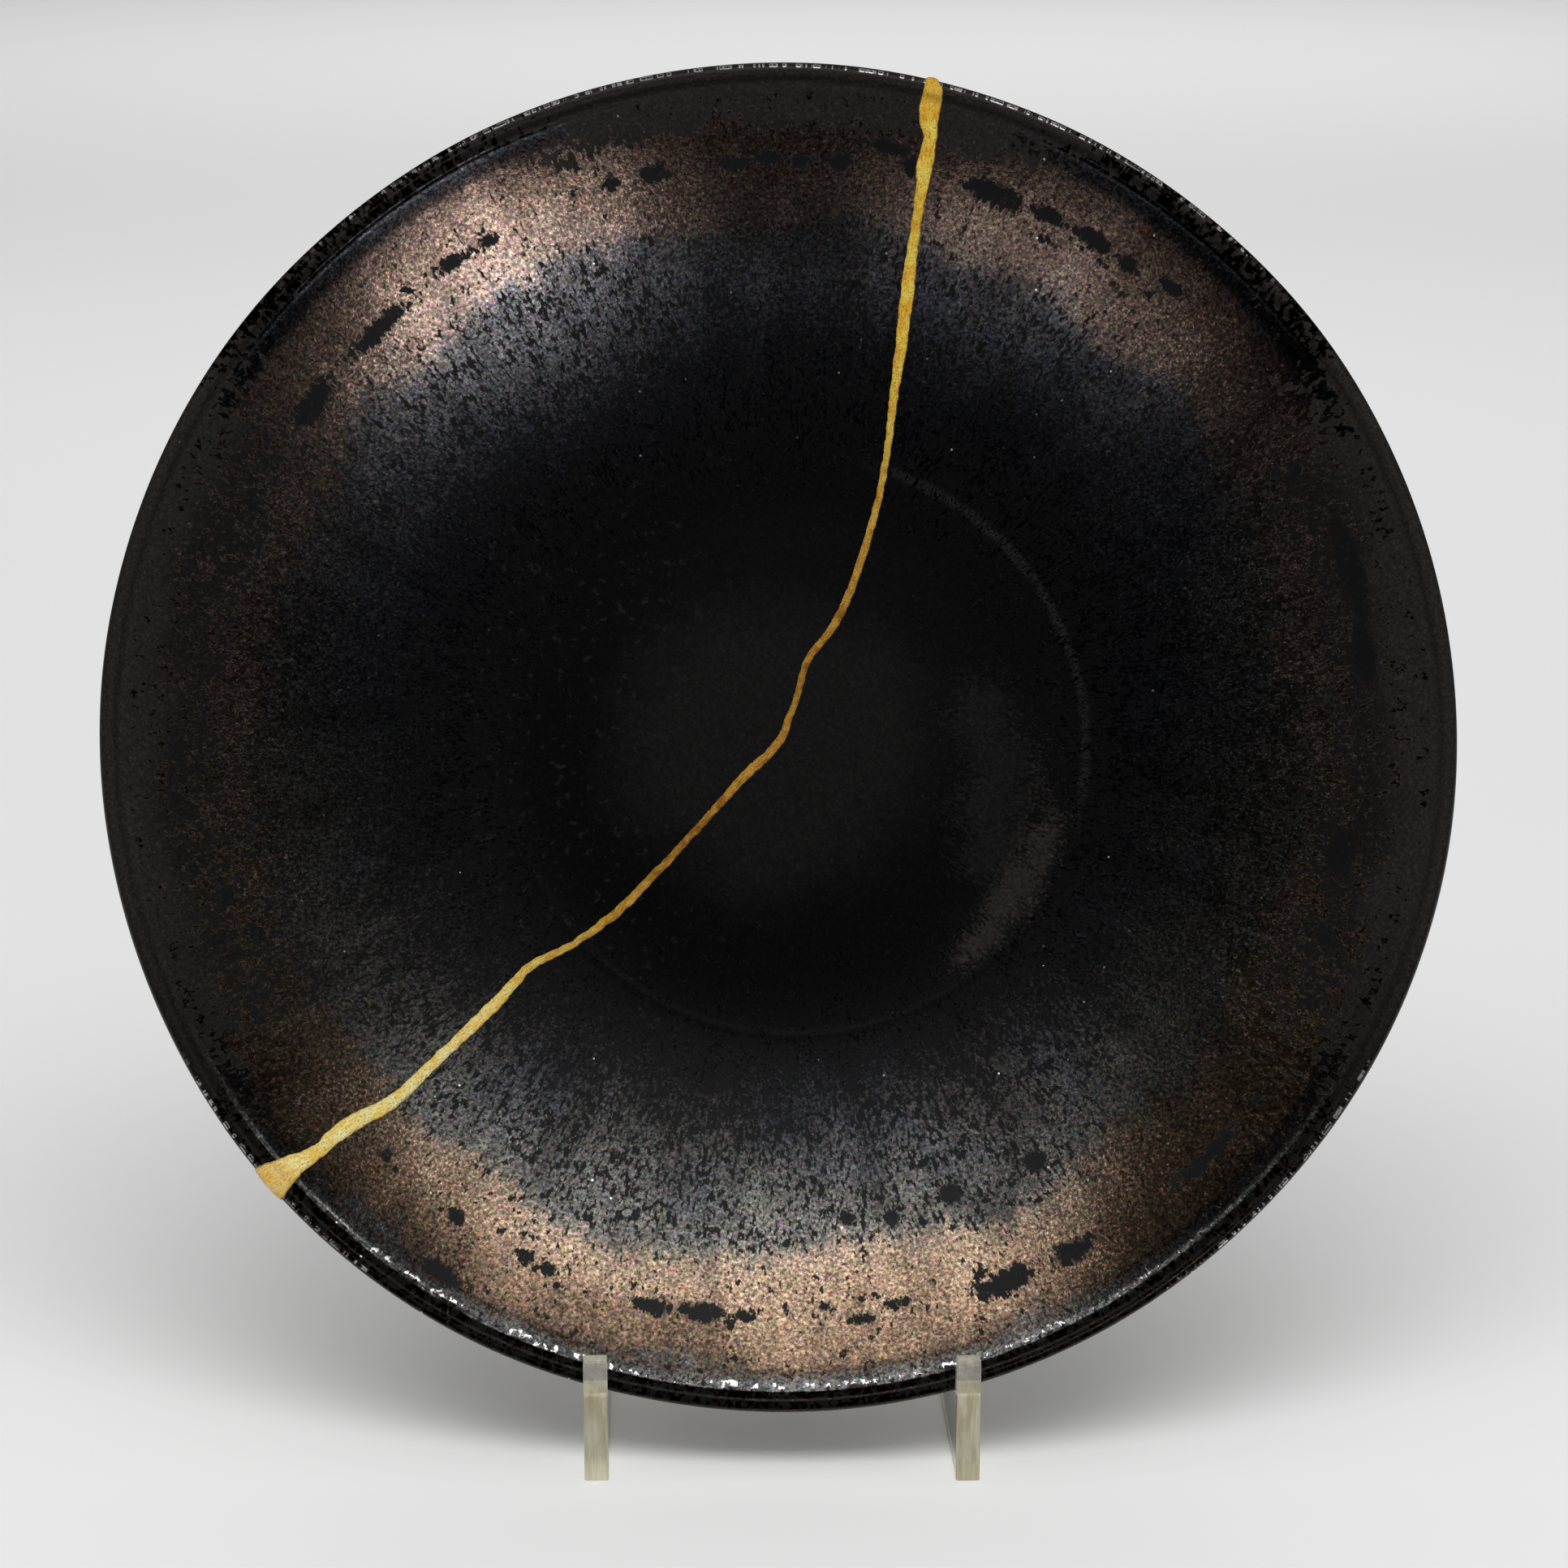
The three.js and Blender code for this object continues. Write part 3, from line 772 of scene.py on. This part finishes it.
def glints(at):
    """Crystals in the grey, and painted glints: broken white metal along the bead's crest and its inner
    edge, where the lamps' reflections fall.
    """
    cells = node(at.spot.id_data, "ShaderNodeTexVoronoi", {"Vector": at.spot, "Scale": CRYSTALS_PER_MM})
    away = calc("DIVIDE", cells.outputs["Distance"], CRYSTALS_PER_MM)
    near = calc("LESS_THAN", away, CRYSTAL_RADIUS)
    chosen = node(at.spot.id_data, "ShaderNodeSeparateColor", {0: cells.outputs["Color"]}).outputs[0]
    crystal = times(near, calc("GREATER_THAN", chosen, 0.6), rise(at.radius, 60.0, 84.0))
    # Painted glints: white metal on the bead's crest, in dashes, only on the arcs where the lamps'
    # reflections fall
    dashes = rise(noise(scaled(at.spoke, 75.0), 1.0, 2, 0.75), 0.49, 0.57)
    aside = calc("ABSOLUTE", at.across)
    low_arcs = times(
        rise(aside, 76.0, 88.0), rise(aside, 118.0, 108.0), calc("LESS_THAN", at.up, 0.0))
    arcs = calc("MAXIMUM", rise(dot(at.spoke, CREST_PAINTED_GLINTS), 0.68, 0.80), low_arcs)
    crest = times(rise(at.radius, 133.65, 133.9), rise(at.radius, 134.6, 134.35), dashes, arcs)
    # Painted glints along the bead's inner edge, low on the plate under the overhead lamp's reflection
    edge = times(rise(at.waved, 129.9, 130.2), calc("LESS_THAN", at.waved, 130.9))
    edge = times(edge, rise(at.up, -88.0, -108.0), rise(at.mixed, 0.55, 0.57))
    return without(calc("MAXIMUM", calc("MAXIMUM", crystal, crest), edge), at.back)


def foot_clay(at):
    """The foot ring, wiped clean: how much clay shows, and its grainy fired colour."""
    wiped = rise(calc("MULTIPLY_ADD", at.mottle, 1.2, at.height), 1.7, 1.3)
    clay = times(at.back, wiped, rise(at.radius, 58.0, 59.5))
    fired = blend(rise(at.mottle, 0.36, 0.64), CLAY_DARK, CLAY_LIGHT)
    fired = blend(rise(at.grain, 0.42, 0.30), fired, CLAY_IRON)
    return clay, blend(rise(at.grain, 0.60, 0.70), fired, CLAY_SAND)


def glaze_material():
    """Black glaze with its skin, crystals, painted glints and one speck of rust, and clay on the foot
    ring.
    """
    material, tree, shader = new_material("Iron glaze")
    at = glaze_patterns(tree)
    cover, glint = skin_cover(at), glints(at)
    clay, fired = foot_clay(at)
    rust = without(rise(vector_calc("DISTANCE", at.flat, RUST_SPECK), 0.9, 0.4), at.back)
    colour = blend(cover, bare_colour(at), skin_colour(at))
    for amount, second in ((rust, RUST), (glint, GLINT), (clay, fired)):
        colour = blend(amount, colour, second)
    metal = calc("MAXIMUM", calc("MULTIPLY", cover, 1.7, clamp=True), glint)
    rough = mix(glint, mix(cover, GLAZE_ROUGHNESS, ramp(at.reach, SKIN_ROUGHNESS)), GLINT_ROUGHNESS)
    turned = calc("SINE", calc("MULTIPLY_ADD", at.mottle, 2.0, times(at.radius, 2.4)))
    relief = calc("MULTIPLY_ADD", noise(at.spot, 4.5, 1, 0.5), 0.35, at.grain)
    for pattern, height in ((at.mottle, 1.5), (times(turned, at.back), 2.5), (times(at.grain, clay), 6.0)):
        relief = calc("MULTIPLY_ADD", pattern, height, relief)
    fill(shader, {
        "Base Color": colour,
        "Metallic": without(metal, clay),
        "Roughness": calc("MAXIMUM", rough, times(clay, 0.8)),
        "Specular IOR Level": GLAZE_SPECULAR,
        "Normal": bump(relief, GLAZE_RELIEF),
    })
    return material


# Marks on the face: degrees round the plate from the right, distance from the axis, and half
# the length and half the width of each. Pools are where the black broke through the bronze;
# the painted reflections are a lighter, dull crescent and the patches beside it in the well,
# painted where a lamp's soft reflection falls.

POOLS = [
    (144.5, 115.5, 6.5, 2.4), (134.5, 115.5, 8.0, 1.7), (124.8, 116.5, 3.8, 1.5),
    (120.5, 116.2, 2.3, 1.2), (102.5, 117.0, 3.6, 1.8), (107.0, 117.0, 2.2, 1.0),
    (94.5, 116.5, 3.6, 1.2), (91.0, 117.3, 3.2, 1.4), (87.8, 116.8, 3.0, 1.0),
    (84.0, 117.2, 3.4, 1.6), (79.5, 121.0, 4.6, 1.3), (76.8, 118.5, 1.6, 2.0),
    (68.3, 118.3, 6.5, 2.2), (62.5, 118.8, 4.0, 1.6), (57.5, 118.9, 4.8, 1.7),
    (53.2, 118.9, 2.8, 1.6), (48.5, 120.5, 3.8, 1.2), (16.0, 120.0, 10.0, 2.0),
    (7.5, 119.0, 5.5, 2.0), (-12.0, 115.5, 4.2, 2.4), (-45.0, 120.5, 10.5, 1.5),
    (-60.5, 119.0, 5.0, 2.0), (-67.7, 118.8, 6.6, 2.2), (-78.5, 116.5, 3.5, 1.0),
    (-82.0, 118.3, 2.6, 0.9), (-59.0, 100.5, 2.2, 2.0), (-69.5, 99.0, 2.2, 1.8),
    (-76.8, 100.0, 1.5, 1.5), (-82.0, 98.5, 1.5, 1.4), (-93.0, 116.8, 1.8, 1.2),
    (-97.5, 117.0, 4.4, 1.8), (-102.2, 117.2, 4.0, 1.7), (-113.0, 116.5, 2.0, 1.1),
    (-115.6, 116.2, 2.0, 1.4), (-122.0, 126.4, 4.4, 1.8), (-123.5, 116.2, 1.8, 1.4),
]
PAINTED_REFLECTIONS = [
    (-23.0, 58.6, 8.0, 3.2), (-33.0, 57.4, 9.0, 4.4), (-44.0, 58.6, 7.0, 2.8),
    (-7.0, 46.0, 8.0, 7.0), (-18.0, 46.0, 8.0, 7.0), (6.0, 42.0, 8.0, 6.0), (-27.0, 49.0, 7.0, 5.0),
]
BACK_SHARPNESS = 4
MARK_FADE = 0.69


def paint_marks(mesh):
    """Writes on the mesh how near each point is to a mark, and where the back of the plate is."""
    count = len(mesh.vertices)
    points, normals = np.empty(3 * count), np.empty(3 * count)
    mesh.vertices.foreach_get("co", points)
    mesh.vertex_normals.foreach_get("vector", normals)
    points, up = points.reshape(-1, 3), normals.reshape(-1, 3)[:, 2]
    degrees = np.degrees(np.arctan2(points[:, 1], points[:, 0]))
    radius = np.linalg.norm(points[:, :2], axis=1)
    back = np.clip(0.5 - up * BACK_SHARPNESS, 0, 1)
    painted = {"back": back}
    for name, marks in (("pools", POOLS), ("painted_reflection", PAINTED_REFLECTIONS)):
        near = np.zeros(count)
        for turn, distance, half_length, half_width in marks:
            away = (degrees - turn + 180) % 360 - 180
            along = np.radians(away) * distance / half_length
            spread = along ** 2 + ((radius - distance) / half_width) ** 2
            near = np.maximum(near, np.exp(-MARK_FADE * spread))
        painted[name] = near * (1 - back)
    for name, values in painted.items():
        mesh.attributes.new(name, "FLOAT", "POINT").data.foreach_set("value", values.astype(np.float32))


GLAZE = glaze_material()
section = section_curve()
thrown_plate = thrown_plate_nodes()
for name, cad_node, side in (
    ("plate_upper_left_glazed", "plate_upper_left_shard", 1),
    ("plate_lower_right_glazed", "plate_lower_right_shard", -1),
):
    region = shard_region(name + "_region", side)
    mesh = made_by_nodes(name, thrown_plate, {
        "section": section,
        "region": region,
        "wheel_steps": WHEEL_STEPS,
        "rim_radius": RIM_RADIUS,
        "wobble": HAND_WOBBLE,
        "ring_centre": RING_CENTRE,
        "ring_radius": RING_RADIUS,
        "ring_width": RING_WIDTH,
        "ring_rise": RING_RISE,
        "glaze": GLAZE,
    })
    paint_marks(mesh)
    mesh.transform(plate_place)
    mesh.set_sharp_from_angle(angle=GLAZE_SHARP_FROM)
    shard = add_object(name, mesh)
    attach(shard, "root")
    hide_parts(cad_node)
    bpy.data.objects.remove(region)
bpy.data.objects.remove(section)

# Gold seam: the shards are glued with lacquer, and a raised line of lacquer dusted with gold
# powder is laid over the crack on the face, over the rim and on across the back. The brush
# leaves a rough outline, two small spurs, and a wide flare where the rim lost a chip.

GOLD_RISE = 0.55
GOLD_SINK = 0.35
GOLD_ON_BACK = 0.8
GOLD_STEP = 0.5
GOLD_SIDES = 20
SPURS = [(23.5, 56.0, 0.8), (12.9, 24.4, 0.8)]
SPUR_HALF_LENGTH = 0.7
GOLD_ROUGH_EDGE = 0.7
GOLD_ROUGH_TOP = 0.35
GOLD_RELIEF = 0.00040
GOLD_PAINTED_SHADE_MIDDLE = ((0.22, 0.085, 0.006, 1), (0.60, 0.31, 0.04, 1))
GOLD_PLAIN = ((0.84, 0.41, 0.022, 1), (1.0, 0.77, 0.12, 1))
GOLD_PAINTED_LIGHT_LOW = ((1.0, 0.68, 0.10, 1), (1.0, 0.95, 0.50, 1))
GOLD_OVER_RIM = (0.62, 0.30, 0.03, 1)
GOLD_DULL = (0.36, 0.17, 0.02, 1)
LACQUER = (0.16, 0.07, 0.018, 1)


def crack_arms():
    """The crack as two arms from the middle outwards: each one's radii, and its stretch of line."""
    radii = np.linalg.norm(CRACK_LINE[:, :2], axis=1)
    middle = int(np.argmin(radii))
    return [
        (np.maximum.accumulate(radii[part]), CRACK_LINE[part])
        for part in (slice(middle, None, -1), slice(middle, None, 1))
    ]


def gold_route():
    """The closed line that the gold follows: out along one arm on the face, round the rim and
    back on the underside, then the same for the other arm. Each point has the surface's normal,
    the half width and how far a spur sticks out."""
    outline = SECTION[::-1]
    lengths = np.concatenate([[0], np.cumsum(np.linalg.norm(np.diff(outline, axis=0), axis=1))])
    even = np.arange(0, lengths[-1], GOLD_STEP)
    radius = np.interp(even, lengths, outline[:, 0])
    height = np.interp(even, lengths, outline[:, 1])
    lean_out = -np.gradient(height, even)
    lean_up = np.gradient(radius, even)
    on_back = np.arange(len(even)) > np.argmax(radius)
    half_widths, places, normals, spurs = [], [], [], []
    for order, (radii, line) in ((1, crack_arms()[0]), (-1, crack_arms()[1])):
        spot = np.stack([np.interp(radius, radii, line[:, axis]) for axis in (0, 1)], -1)
        half = np.interp(radius, radii, line[:, 2]) / 2 * np.where(on_back, GOLD_ON_BACK, 1)
        spoke = spot / np.maximum(np.linalg.norm(spot, axis=1), 1e-6)[:, None]
        facing = np.where(on_back, -1, 1) * np.abs(lean_up)
        normal = np.column_stack([spoke * lean_out[:, None], facing])
        spur = sum(
            reach * np.exp(-((spot[:, 0] - x) ** 2 + (spot[:, 1] - y) ** 2) / SPUR_HALF_LENGTH ** 2)
            for x, y, reach in SPURS
        )
        places.append(np.column_stack([spot, height])[::order])
        normals.append((normal / np.linalg.norm(normal, axis=1)[:, None])[::order])
        half_widths.append(half[::order])
        spurs.append(np.where(on_back, 0, spur)[::order])
    return [np.concatenate(parts) for parts in (places, normals, half_widths, spurs)]


def gold_route_object():
    """The route as a closed loop of edges that carries its values."""
    places, normals, half_widths, spurs = gold_route()
    count = len(places)
    mesh = bpy.data.meshes.new("Gold route")
    mesh.from_pydata(places.tolist(), [(i, (i + 1) % count) for i in range(count)], [])
    for name, kind, field, values in (
        ("surface", "FLOAT_VECTOR", "vector", normals.ravel()),
        ("half_width", "FLOAT", "value", half_widths),
        ("spur", "FLOAT", "value", spurs),
    ):
        mesh.attributes.new(name, kind, "POINT").data.foreach_set(field, values.astype(np.float32))
    return add_object("Gold route", mesh)


def gold_line_nodes():
    """Lays a low rounded bead along the route, square to the glaze, with a rough outline. The
    mesh keeps how far across the line a point is, and how far along."""
    tree, names, given = new_nodes(
        "Gold line", route="Object", sides="Int", rise="Float", sink="Float",
        rough_edge="Float", rough_top="Float", wobble="Float", gold="Material",
    )
    route = node(tree, "GeometryNodeObjectInfo", {"Object": given["route"]})
    line = node(tree, "GeometryNodeMeshToCurve", {"Mesh": route.outputs["Geometry"]})
    read = {
        name: node(tree, "GeometryNodeInputNamedAttribute", {"Name": name}, data_type=kind).outputs[0]
        for name, kind in (("surface", "FLOAT_VECTOR"), ("half_width", "FLOAT"), ("spur", "FLOAT"))
    }
    tangent = node(tree, "GeometryNodeInputTangent").outputs[0]
    place = node(tree, "GeometryNodeInputPosition").outputs[0]
    side = vector_calc("NORMALIZE", vector_calc("CROSS_PRODUCT", tangent, read["surface"]))
    kept = node(tree, "GeometryNodeCaptureAttribute", {"Geometry": line.outputs[0]})
    length = node(tree, "GeometryNodeSplineParameter").outputs["Length"]
    for name, kind, value in (
        ("middle", "VECTOR", place), ("side", "VECTOR", side), ("run", "FLOAT", length),
    ):
        kept.capture_items.new(kind, name)
        tree.links.new(value, kept.inputs[name])
    ring = node(tree, "GeometryNodeCurvePrimitiveCircle", {"Resolution": given["sides"], "Radius": 1.0})
    turned = node(tree, "GeometryNodeReverseCurve", {"Curve": ring.outputs["Curve"]})
    drawn = node(tree, "GeometryNodeCaptureAttribute", {"Geometry": turned.outputs["Curve"]})
    drawn.capture_items.new("VECTOR", "round")
    tree.links.new(place, drawn.inputs["round"])
    bead = node(tree, "GeometryNodeCurveToMesh", {
        "Curve": kept.outputs["Geometry"], "Profile Curve": drawn.outputs["Geometry"],
    })
    across, up, _ = node(tree, "ShaderNodeSeparateXYZ", {0: drawn.outputs["round"]}).outputs[:3]
    seed = node(tree, "ShaderNodeCombineXYZ", {"Z": times(calc("SIGN", across), 9.0)}).outputs[0]
    middle = kept.outputs["middle"]
    rough = noise(vector_calc("ADD", middle, seed), 0.8)
    reach = swayed(read["half_width"], rough, given["rough_edge"])
    outermost = node(tree, "ShaderNodeMapRange", {"Value": across, "From Min": 0.5}).outputs["Result"]
    out = times(across, calc("ADD", reach, times(read["spur"], outermost)))
    crest = swayed(given["rise"], noise(middle, 0.35, 2, 0.5), given["rough_top"])
    above = times(calc("MAXIMUM", up, 0.0), crest)
    below = times(calc("MINIMUM", up, 0.0), given["sink"])
    sideways = scaled(kept.outputs["side"], out)
    outwards = scaled(read["surface"], calc("ADD", above, below))
    spot = vector_calc("ADD", middle, vector_calc("ADD", sideways, outwards))
    laid = shaped(bead.outputs[0], "SetPosition", {"Position": spot})
    brushed = wandering(tree, laid, given["wobble"])
    for name, value in (("across", across), ("run", kept.outputs["run"])):
        inputs = {"Name": name, "Value": value}
        brushed = shaped(brushed, "StoreNamedAttribute", inputs, data_type="FLOAT", domain="POINT")
    end_nodes(tree, brushed, given["gold"])
    return tree, names


def gold_material():
    """Gold powder on lacquer: satin, brushed along its length, darker and browner near the middle
    as painted shade, brightest low on the plate as painted light, and worn to the lacquer along its edges."""
    material, tree, shader = new_material("Gold on lacquer")
    spot = node(tree, "ShaderNodeGroup", node_tree=PLATE_PLACE).outputs["Place"]
    across, run = mark(tree, "across"), mark(tree, "run")
    brush = node(tree, "ShaderNodeCombineXYZ", {"X": times(run, 0.45), "Y": times(across, 5.0)})
    strokes = noise(brush.outputs[0])
    powder = noise(spot, 2.6, 3, 0.7)
    reach = vector_calc("LENGTH", spot)
    # Painted light: lighter gold low on the plate, where the lower wall faces the overhead lamp
    low = rise(node(tree, "ShaderNodeSeparateXYZ", {0: spot}).outputs["Y"], -35.0, -70.0)
    worn = rise(calc("MULTIPLY_ADD", strokes, 0.5, calc("ABSOLUTE", across)), 1.08, 1.30)
    tone = calc("MULTIPLY_ADD", strokes, 0.5, times(noise(spot, 0.30), 0.5))
    bright = rise(tone, 0.38, 0.58)
    # Painted shade: the gold is darker and browner towards the middle of the plate
    gold = blend(rise(reach, 28.0, 96.0), blend(bright, *GOLD_PAINTED_SHADE_MIDDLE), blend(bright, *GOLD_PLAIN))
    for amount, colour in (
        (times(low, 0.8), blend(bright, *GOLD_PAINTED_LIGHT_LOW)),
        (times(rise(reach, 133.0, 138.0), 0.5), GOLD_OVER_RIM),
        (times(rise(powder, 0.48, 0.36), 0.6), GOLD_DULL),
        (times(worn, 0.8), LACQUER),
    ):
        gold = blend(amount, gold, colour)
    fill(shader, {
        "Base Color": gold,
        "Metallic": calc("MULTIPLY_ADD", worn, -0.05, 0.1),
        "Roughness": calc("MULTIPLY_ADD", powder, 0.25, 0.16),
        "Normal": bump(calc("MULTIPLY_ADD", strokes, 2.0, powder), GOLD_RELIEF),
    })
    return material


route = gold_route_object()
gold_mesh = made_by_nodes("gold_line", gold_line_nodes(), {
    "route": route,
    "sides": GOLD_SIDES,
    "rise": GOLD_RISE,
    "sink": GOLD_SINK,
    "rough_edge": GOLD_ROUGH_EDGE,
    "rough_top": GOLD_ROUGH_TOP,
    "wobble": HAND_WOBBLE,
    "gold": gold_material(),
})
bpy.data.objects.remove(route)
gold_mesh.transform(plate_place)
gold_line = add_object("gold_line", gold_mesh)
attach(gold_line, "root")
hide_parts("gold_seam")

# Stand: three pieces of clear acrylic sheet, two legs sawn to one outline and a bar glued
# between them behind the plate. The faces of the sheet are polished, the sawn edges satin.

LEG_LENGTH = 150.0
LEG_HEIGHT = 140.0
LIP_DEPTH = 4.0
LIP_HEIGHT = 25.2
LIP_CORNER_HEIGHT = 20.1
LIP_ROUND = 1.2
LIP_CLEAR_ABOVE = 18.6
LIP_SLACK = 0.1
NOTCH_WIDTH = 3.4
NOTCH_EASE = (1.1, 1.0)
SEAT_HEIGHT = 15.4
SEAT_ROUND = 5.0
SEAT_CLEARANCE = 0.3
UPRIGHT_TOP_WIDTH = 12.0
UPRIGHT_TOP_ROUND = 6.0
SWEEP = (102.0, 17.0)
TAIL = (7.0, 11.0)
HEEL_ROUND = 4.0
RIM_CENTRE = (49.2, 139.6)
CURVE_STEPS = 10
SHEET = 4.7
EDGE_ROUND = 0.35
FACE_SQUARE = 0.999
LEG_PLACES = (("stand_left_leg", (-36.28, 1.27)), ("stand_right_leg", (36.28, -1.27)))
BAR_LENGTH = 67.4
BAR_HEIGHT = 30.0
BAR_SETBACK = 86.0
BAR_LIFT = 8.0
STAND_CORNER = (0.85, -75.0, 0.0)
STAND_TURN = math.radians(2)
ACRYLIC_IOR = 1.49
ACRYLIC_SHARP_FROM = math.radians(35)

stand_place = (
    Matrix.Scale(MILLIMETRE, 4)
    @ Matrix.Translation(STAND_CORNER)
    @ Matrix.Rotation(STAND_TURN, 4, "Z")
)


def bend(outline, corner, end):
    """Goes on from the outline's last point round a corner to the end, in small steps."""
    start = np.array(outline[-1])
    for share in np.linspace(0, 1, CURVE_STEPS + 1)[1:]:
        first = start + (np.array(corner) - start) * share
        last = np.array(corner) + (np.array(end) - np.array(corner)) * share
        outline.append(tuple(first + (last - first) * share))


def leg_outline():
    """The leg from the side: distance behind its front edge, and height."""
    clearance = (PLATE_HEIGHT + SEAT_CLEARANCE) / math.cos(LEAN)

    def front_of_upright(height):
        return RIM_CENTRE[0] + (height - RIM_CENTRE[1]) * math.tan(LEAN) + clearance

    round_top = LEG_HEIGHT - UPRIGHT_TOP_ROUND
    top_front = front_of_upright(round_top)
    top_back = top_front + UPRIGHT_TOP_WIDTH
    seat_back = front_of_upright(SEAT_HEIGHT)
    outline = [(0, 0), (LEG_LENGTH - HEEL_ROUND, 0)]
    bend(outline, (LEG_LENGTH, 0), (LEG_LENGTH, HEEL_ROUND))
    bend(outline, (LEG_LENGTH, TAIL[1]), (LEG_LENGTH - TAIL[0], TAIL[1]))
    bend(outline, SWEEP, (top_back, round_top))
    bend(outline, (top_back, LEG_HEIGHT), (top_front + UPRIGHT_TOP_ROUND, LEG_HEIGHT))
    bend(outline, (top_front, LEG_HEIGHT), (top_front, round_top))
    outline.append((front_of_upright(SEAT_HEIGHT + SEAT_ROUND), SEAT_HEIGHT + SEAT_ROUND))
    bend(outline, (seat_back, SEAT_HEIGHT), (seat_back - SEAT_ROUND, SEAT_HEIGHT))
    outline += [
        (LIP_DEPTH + NOTCH_WIDTH, SEAT_HEIGHT),
        (LIP_DEPTH + NOTCH_EASE[0], SEAT_HEIGHT + NOTCH_EASE[1]),
        (LIP_DEPTH, LIP_CORNER_HEIGHT),
        (LIP_DEPTH, LIP_HEIGHT - LIP_ROUND),
    ]
    bend(outline, (LIP_DEPTH, LIP_HEIGHT), (LIP_DEPTH - LIP_ROUND, LIP_HEIGHT))
    outline.append((LIP_ROUND, LIP_HEIGHT))
    bend(outline, (0, LIP_HEIGHT), (0, LIP_HEIGHT - LIP_ROUND))
    outline.append((0, LIP_CLEAR_ABOVE))
    return outline


def acrylic_material(name, roughness, scratches, sawn, clearness, dark_tint, light_tint):
    """Clear acrylic with a faint warm cast: scattered dust marks on its faces, fine saw lines on
    its edges."""
    material, tree, shader = new_material(name)
    place = node(tree, "ShaderNodeTexCoord").outputs["Object"]
    spot = node(tree, "ShaderNodeMapping", {"Vector": place, "Scale": (1 / MILLIMETRE,) * 3}).outputs[0]
    stretched = node(tree, "ShaderNodeMapping", {"Vector": spot, "Scale": sawn}).outputs[0]
    lines = noise(stretched)
    cast = calc("MULTIPLY_ADD", lines, 0.7, times(noise(spot, 0.12, 2, 0.5), 0.3))
    fill(shader, {
        "Base Color": blend(rise(cast, 0.38, 0.62), dark_tint, light_tint),
        "Metallic": 0.0,
        "Transmission Weight": clearness,
        "IOR": ACRYLIC_IOR,
        "Roughness": calc("MULTIPLY_ADD", lines, scratches, roughness),
        "Normal": bump(lines, scratches * MILLIMETRE, 0.6),
    })
    return material


ACRYLIC = [
    acrylic_material(
        "Acrylic face", 0.015, 0.03, (0.5, 0.4, 0.4), 1.0,
        (0.91, 0.90, 0.83, 1), (0.96, 0.95, 0.90, 1)),
    acrylic_material(
        "Acrylic sawn edge", 0.12, 0.14, (1.1, 1.1, 0.11), 0.55,
        (0.58, 0.52, 0.33, 1), (0.82, 0.78, 0.58, 1)),
    acrylic_material(
        "Acrylic lip", 0.06, 0.10, (1.2, 1.2, 0.30), 0.84,
        (0.74, 0.71, 0.60, 1), (0.97, 0.95, 0.88, 1)),
]
FACE, SAWN_EDGE, LIP = range(3)


def is_lip(spot):
    """True on the lip's upper part, where the plate's rim shows through it."""
    return spot.y < LIP_DEPTH + LIP_SLACK and spot.z > LIP_CLEAR_ABOVE


def cut_sheet(name, outline, thickness_axis, place, cleaner=lambda spot: False):
    """A piece cut from the sheet: its outline given the sheet's thickness, its arrises just
    rounded, and its edges left sawn, with a cleaner part where one is named. Its shadow is left
    out, because the light that comes through clear acrylic isn't traced."""
    mesh = bpy.data.meshes.new(name)
    shape = bmesh.new()
    axis = Vector(thickness_axis)
    face = shape.faces.new([shape.verts.new(Vector(point) - axis * SHEET / 2) for point in outline])
    thicken(shape, face, axis * SHEET)
    bmesh.ops.recalc_face_normals(shape, faces=shape.faces)
    sheet_faces = [f for f in shape.faces if abs(f.normal.dot(axis)) > FACE_SQUARE]
    arrises = list({edge for f in sheet_faces for edge in f.edges})
    bmesh.ops.bevel(
        shape, geom=arrises, offset=EDGE_ROUND, segments=3, profile=0.5, affect="EDGES",
        clamp_overlap=False)
    for f in shape.faces:
        f.smooth = True
        on_face = abs(f.normal.dot(axis)) > FACE_SQUARE
        f.material_index = FACE if on_face else LIP if cleaner(f.calc_center_median()) else SAWN_EDGE
    bmesh.ops.triangulate(shape, faces=[f for f in shape.faces if len(f.verts) > 4])
    shape.to_mesh(mesh)
    shape.free()
    for finish in ACRYLIC:
        mesh.materials.append(finish)
    mesh.transform(stand_place @ Matrix.Translation(place))
    mesh.set_sharp_from_angle(angle=ACRYLIC_SHARP_FROM)
    piece = add_object(name, mesh)
    piece.visible_shadow = False
    return piece


leg_side = [(0, back, height) for back, height in leg_outline()]
for name, (across, back) in LEG_PLACES:
    leg = cut_sheet(name + "_clear", leg_side, (1, 0, 0), (across, back, 0), is_lip)
    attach(leg, "root")
    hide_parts(name)

bar_end = BAR_LENGTH / 2
bar_face = [(-bar_end, 0, 0), (bar_end, 0, 0), (bar_end, 0, BAR_HEIGHT), (-bar_end, 0, BAR_HEIGHT)]
bar = cut_sheet("stand_cross_bar_clear", bar_face, (0, 1, 0), (0, BAR_SETBACK, BAR_LIFT))
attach(bar, "root")
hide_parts("stand_cross_brace")
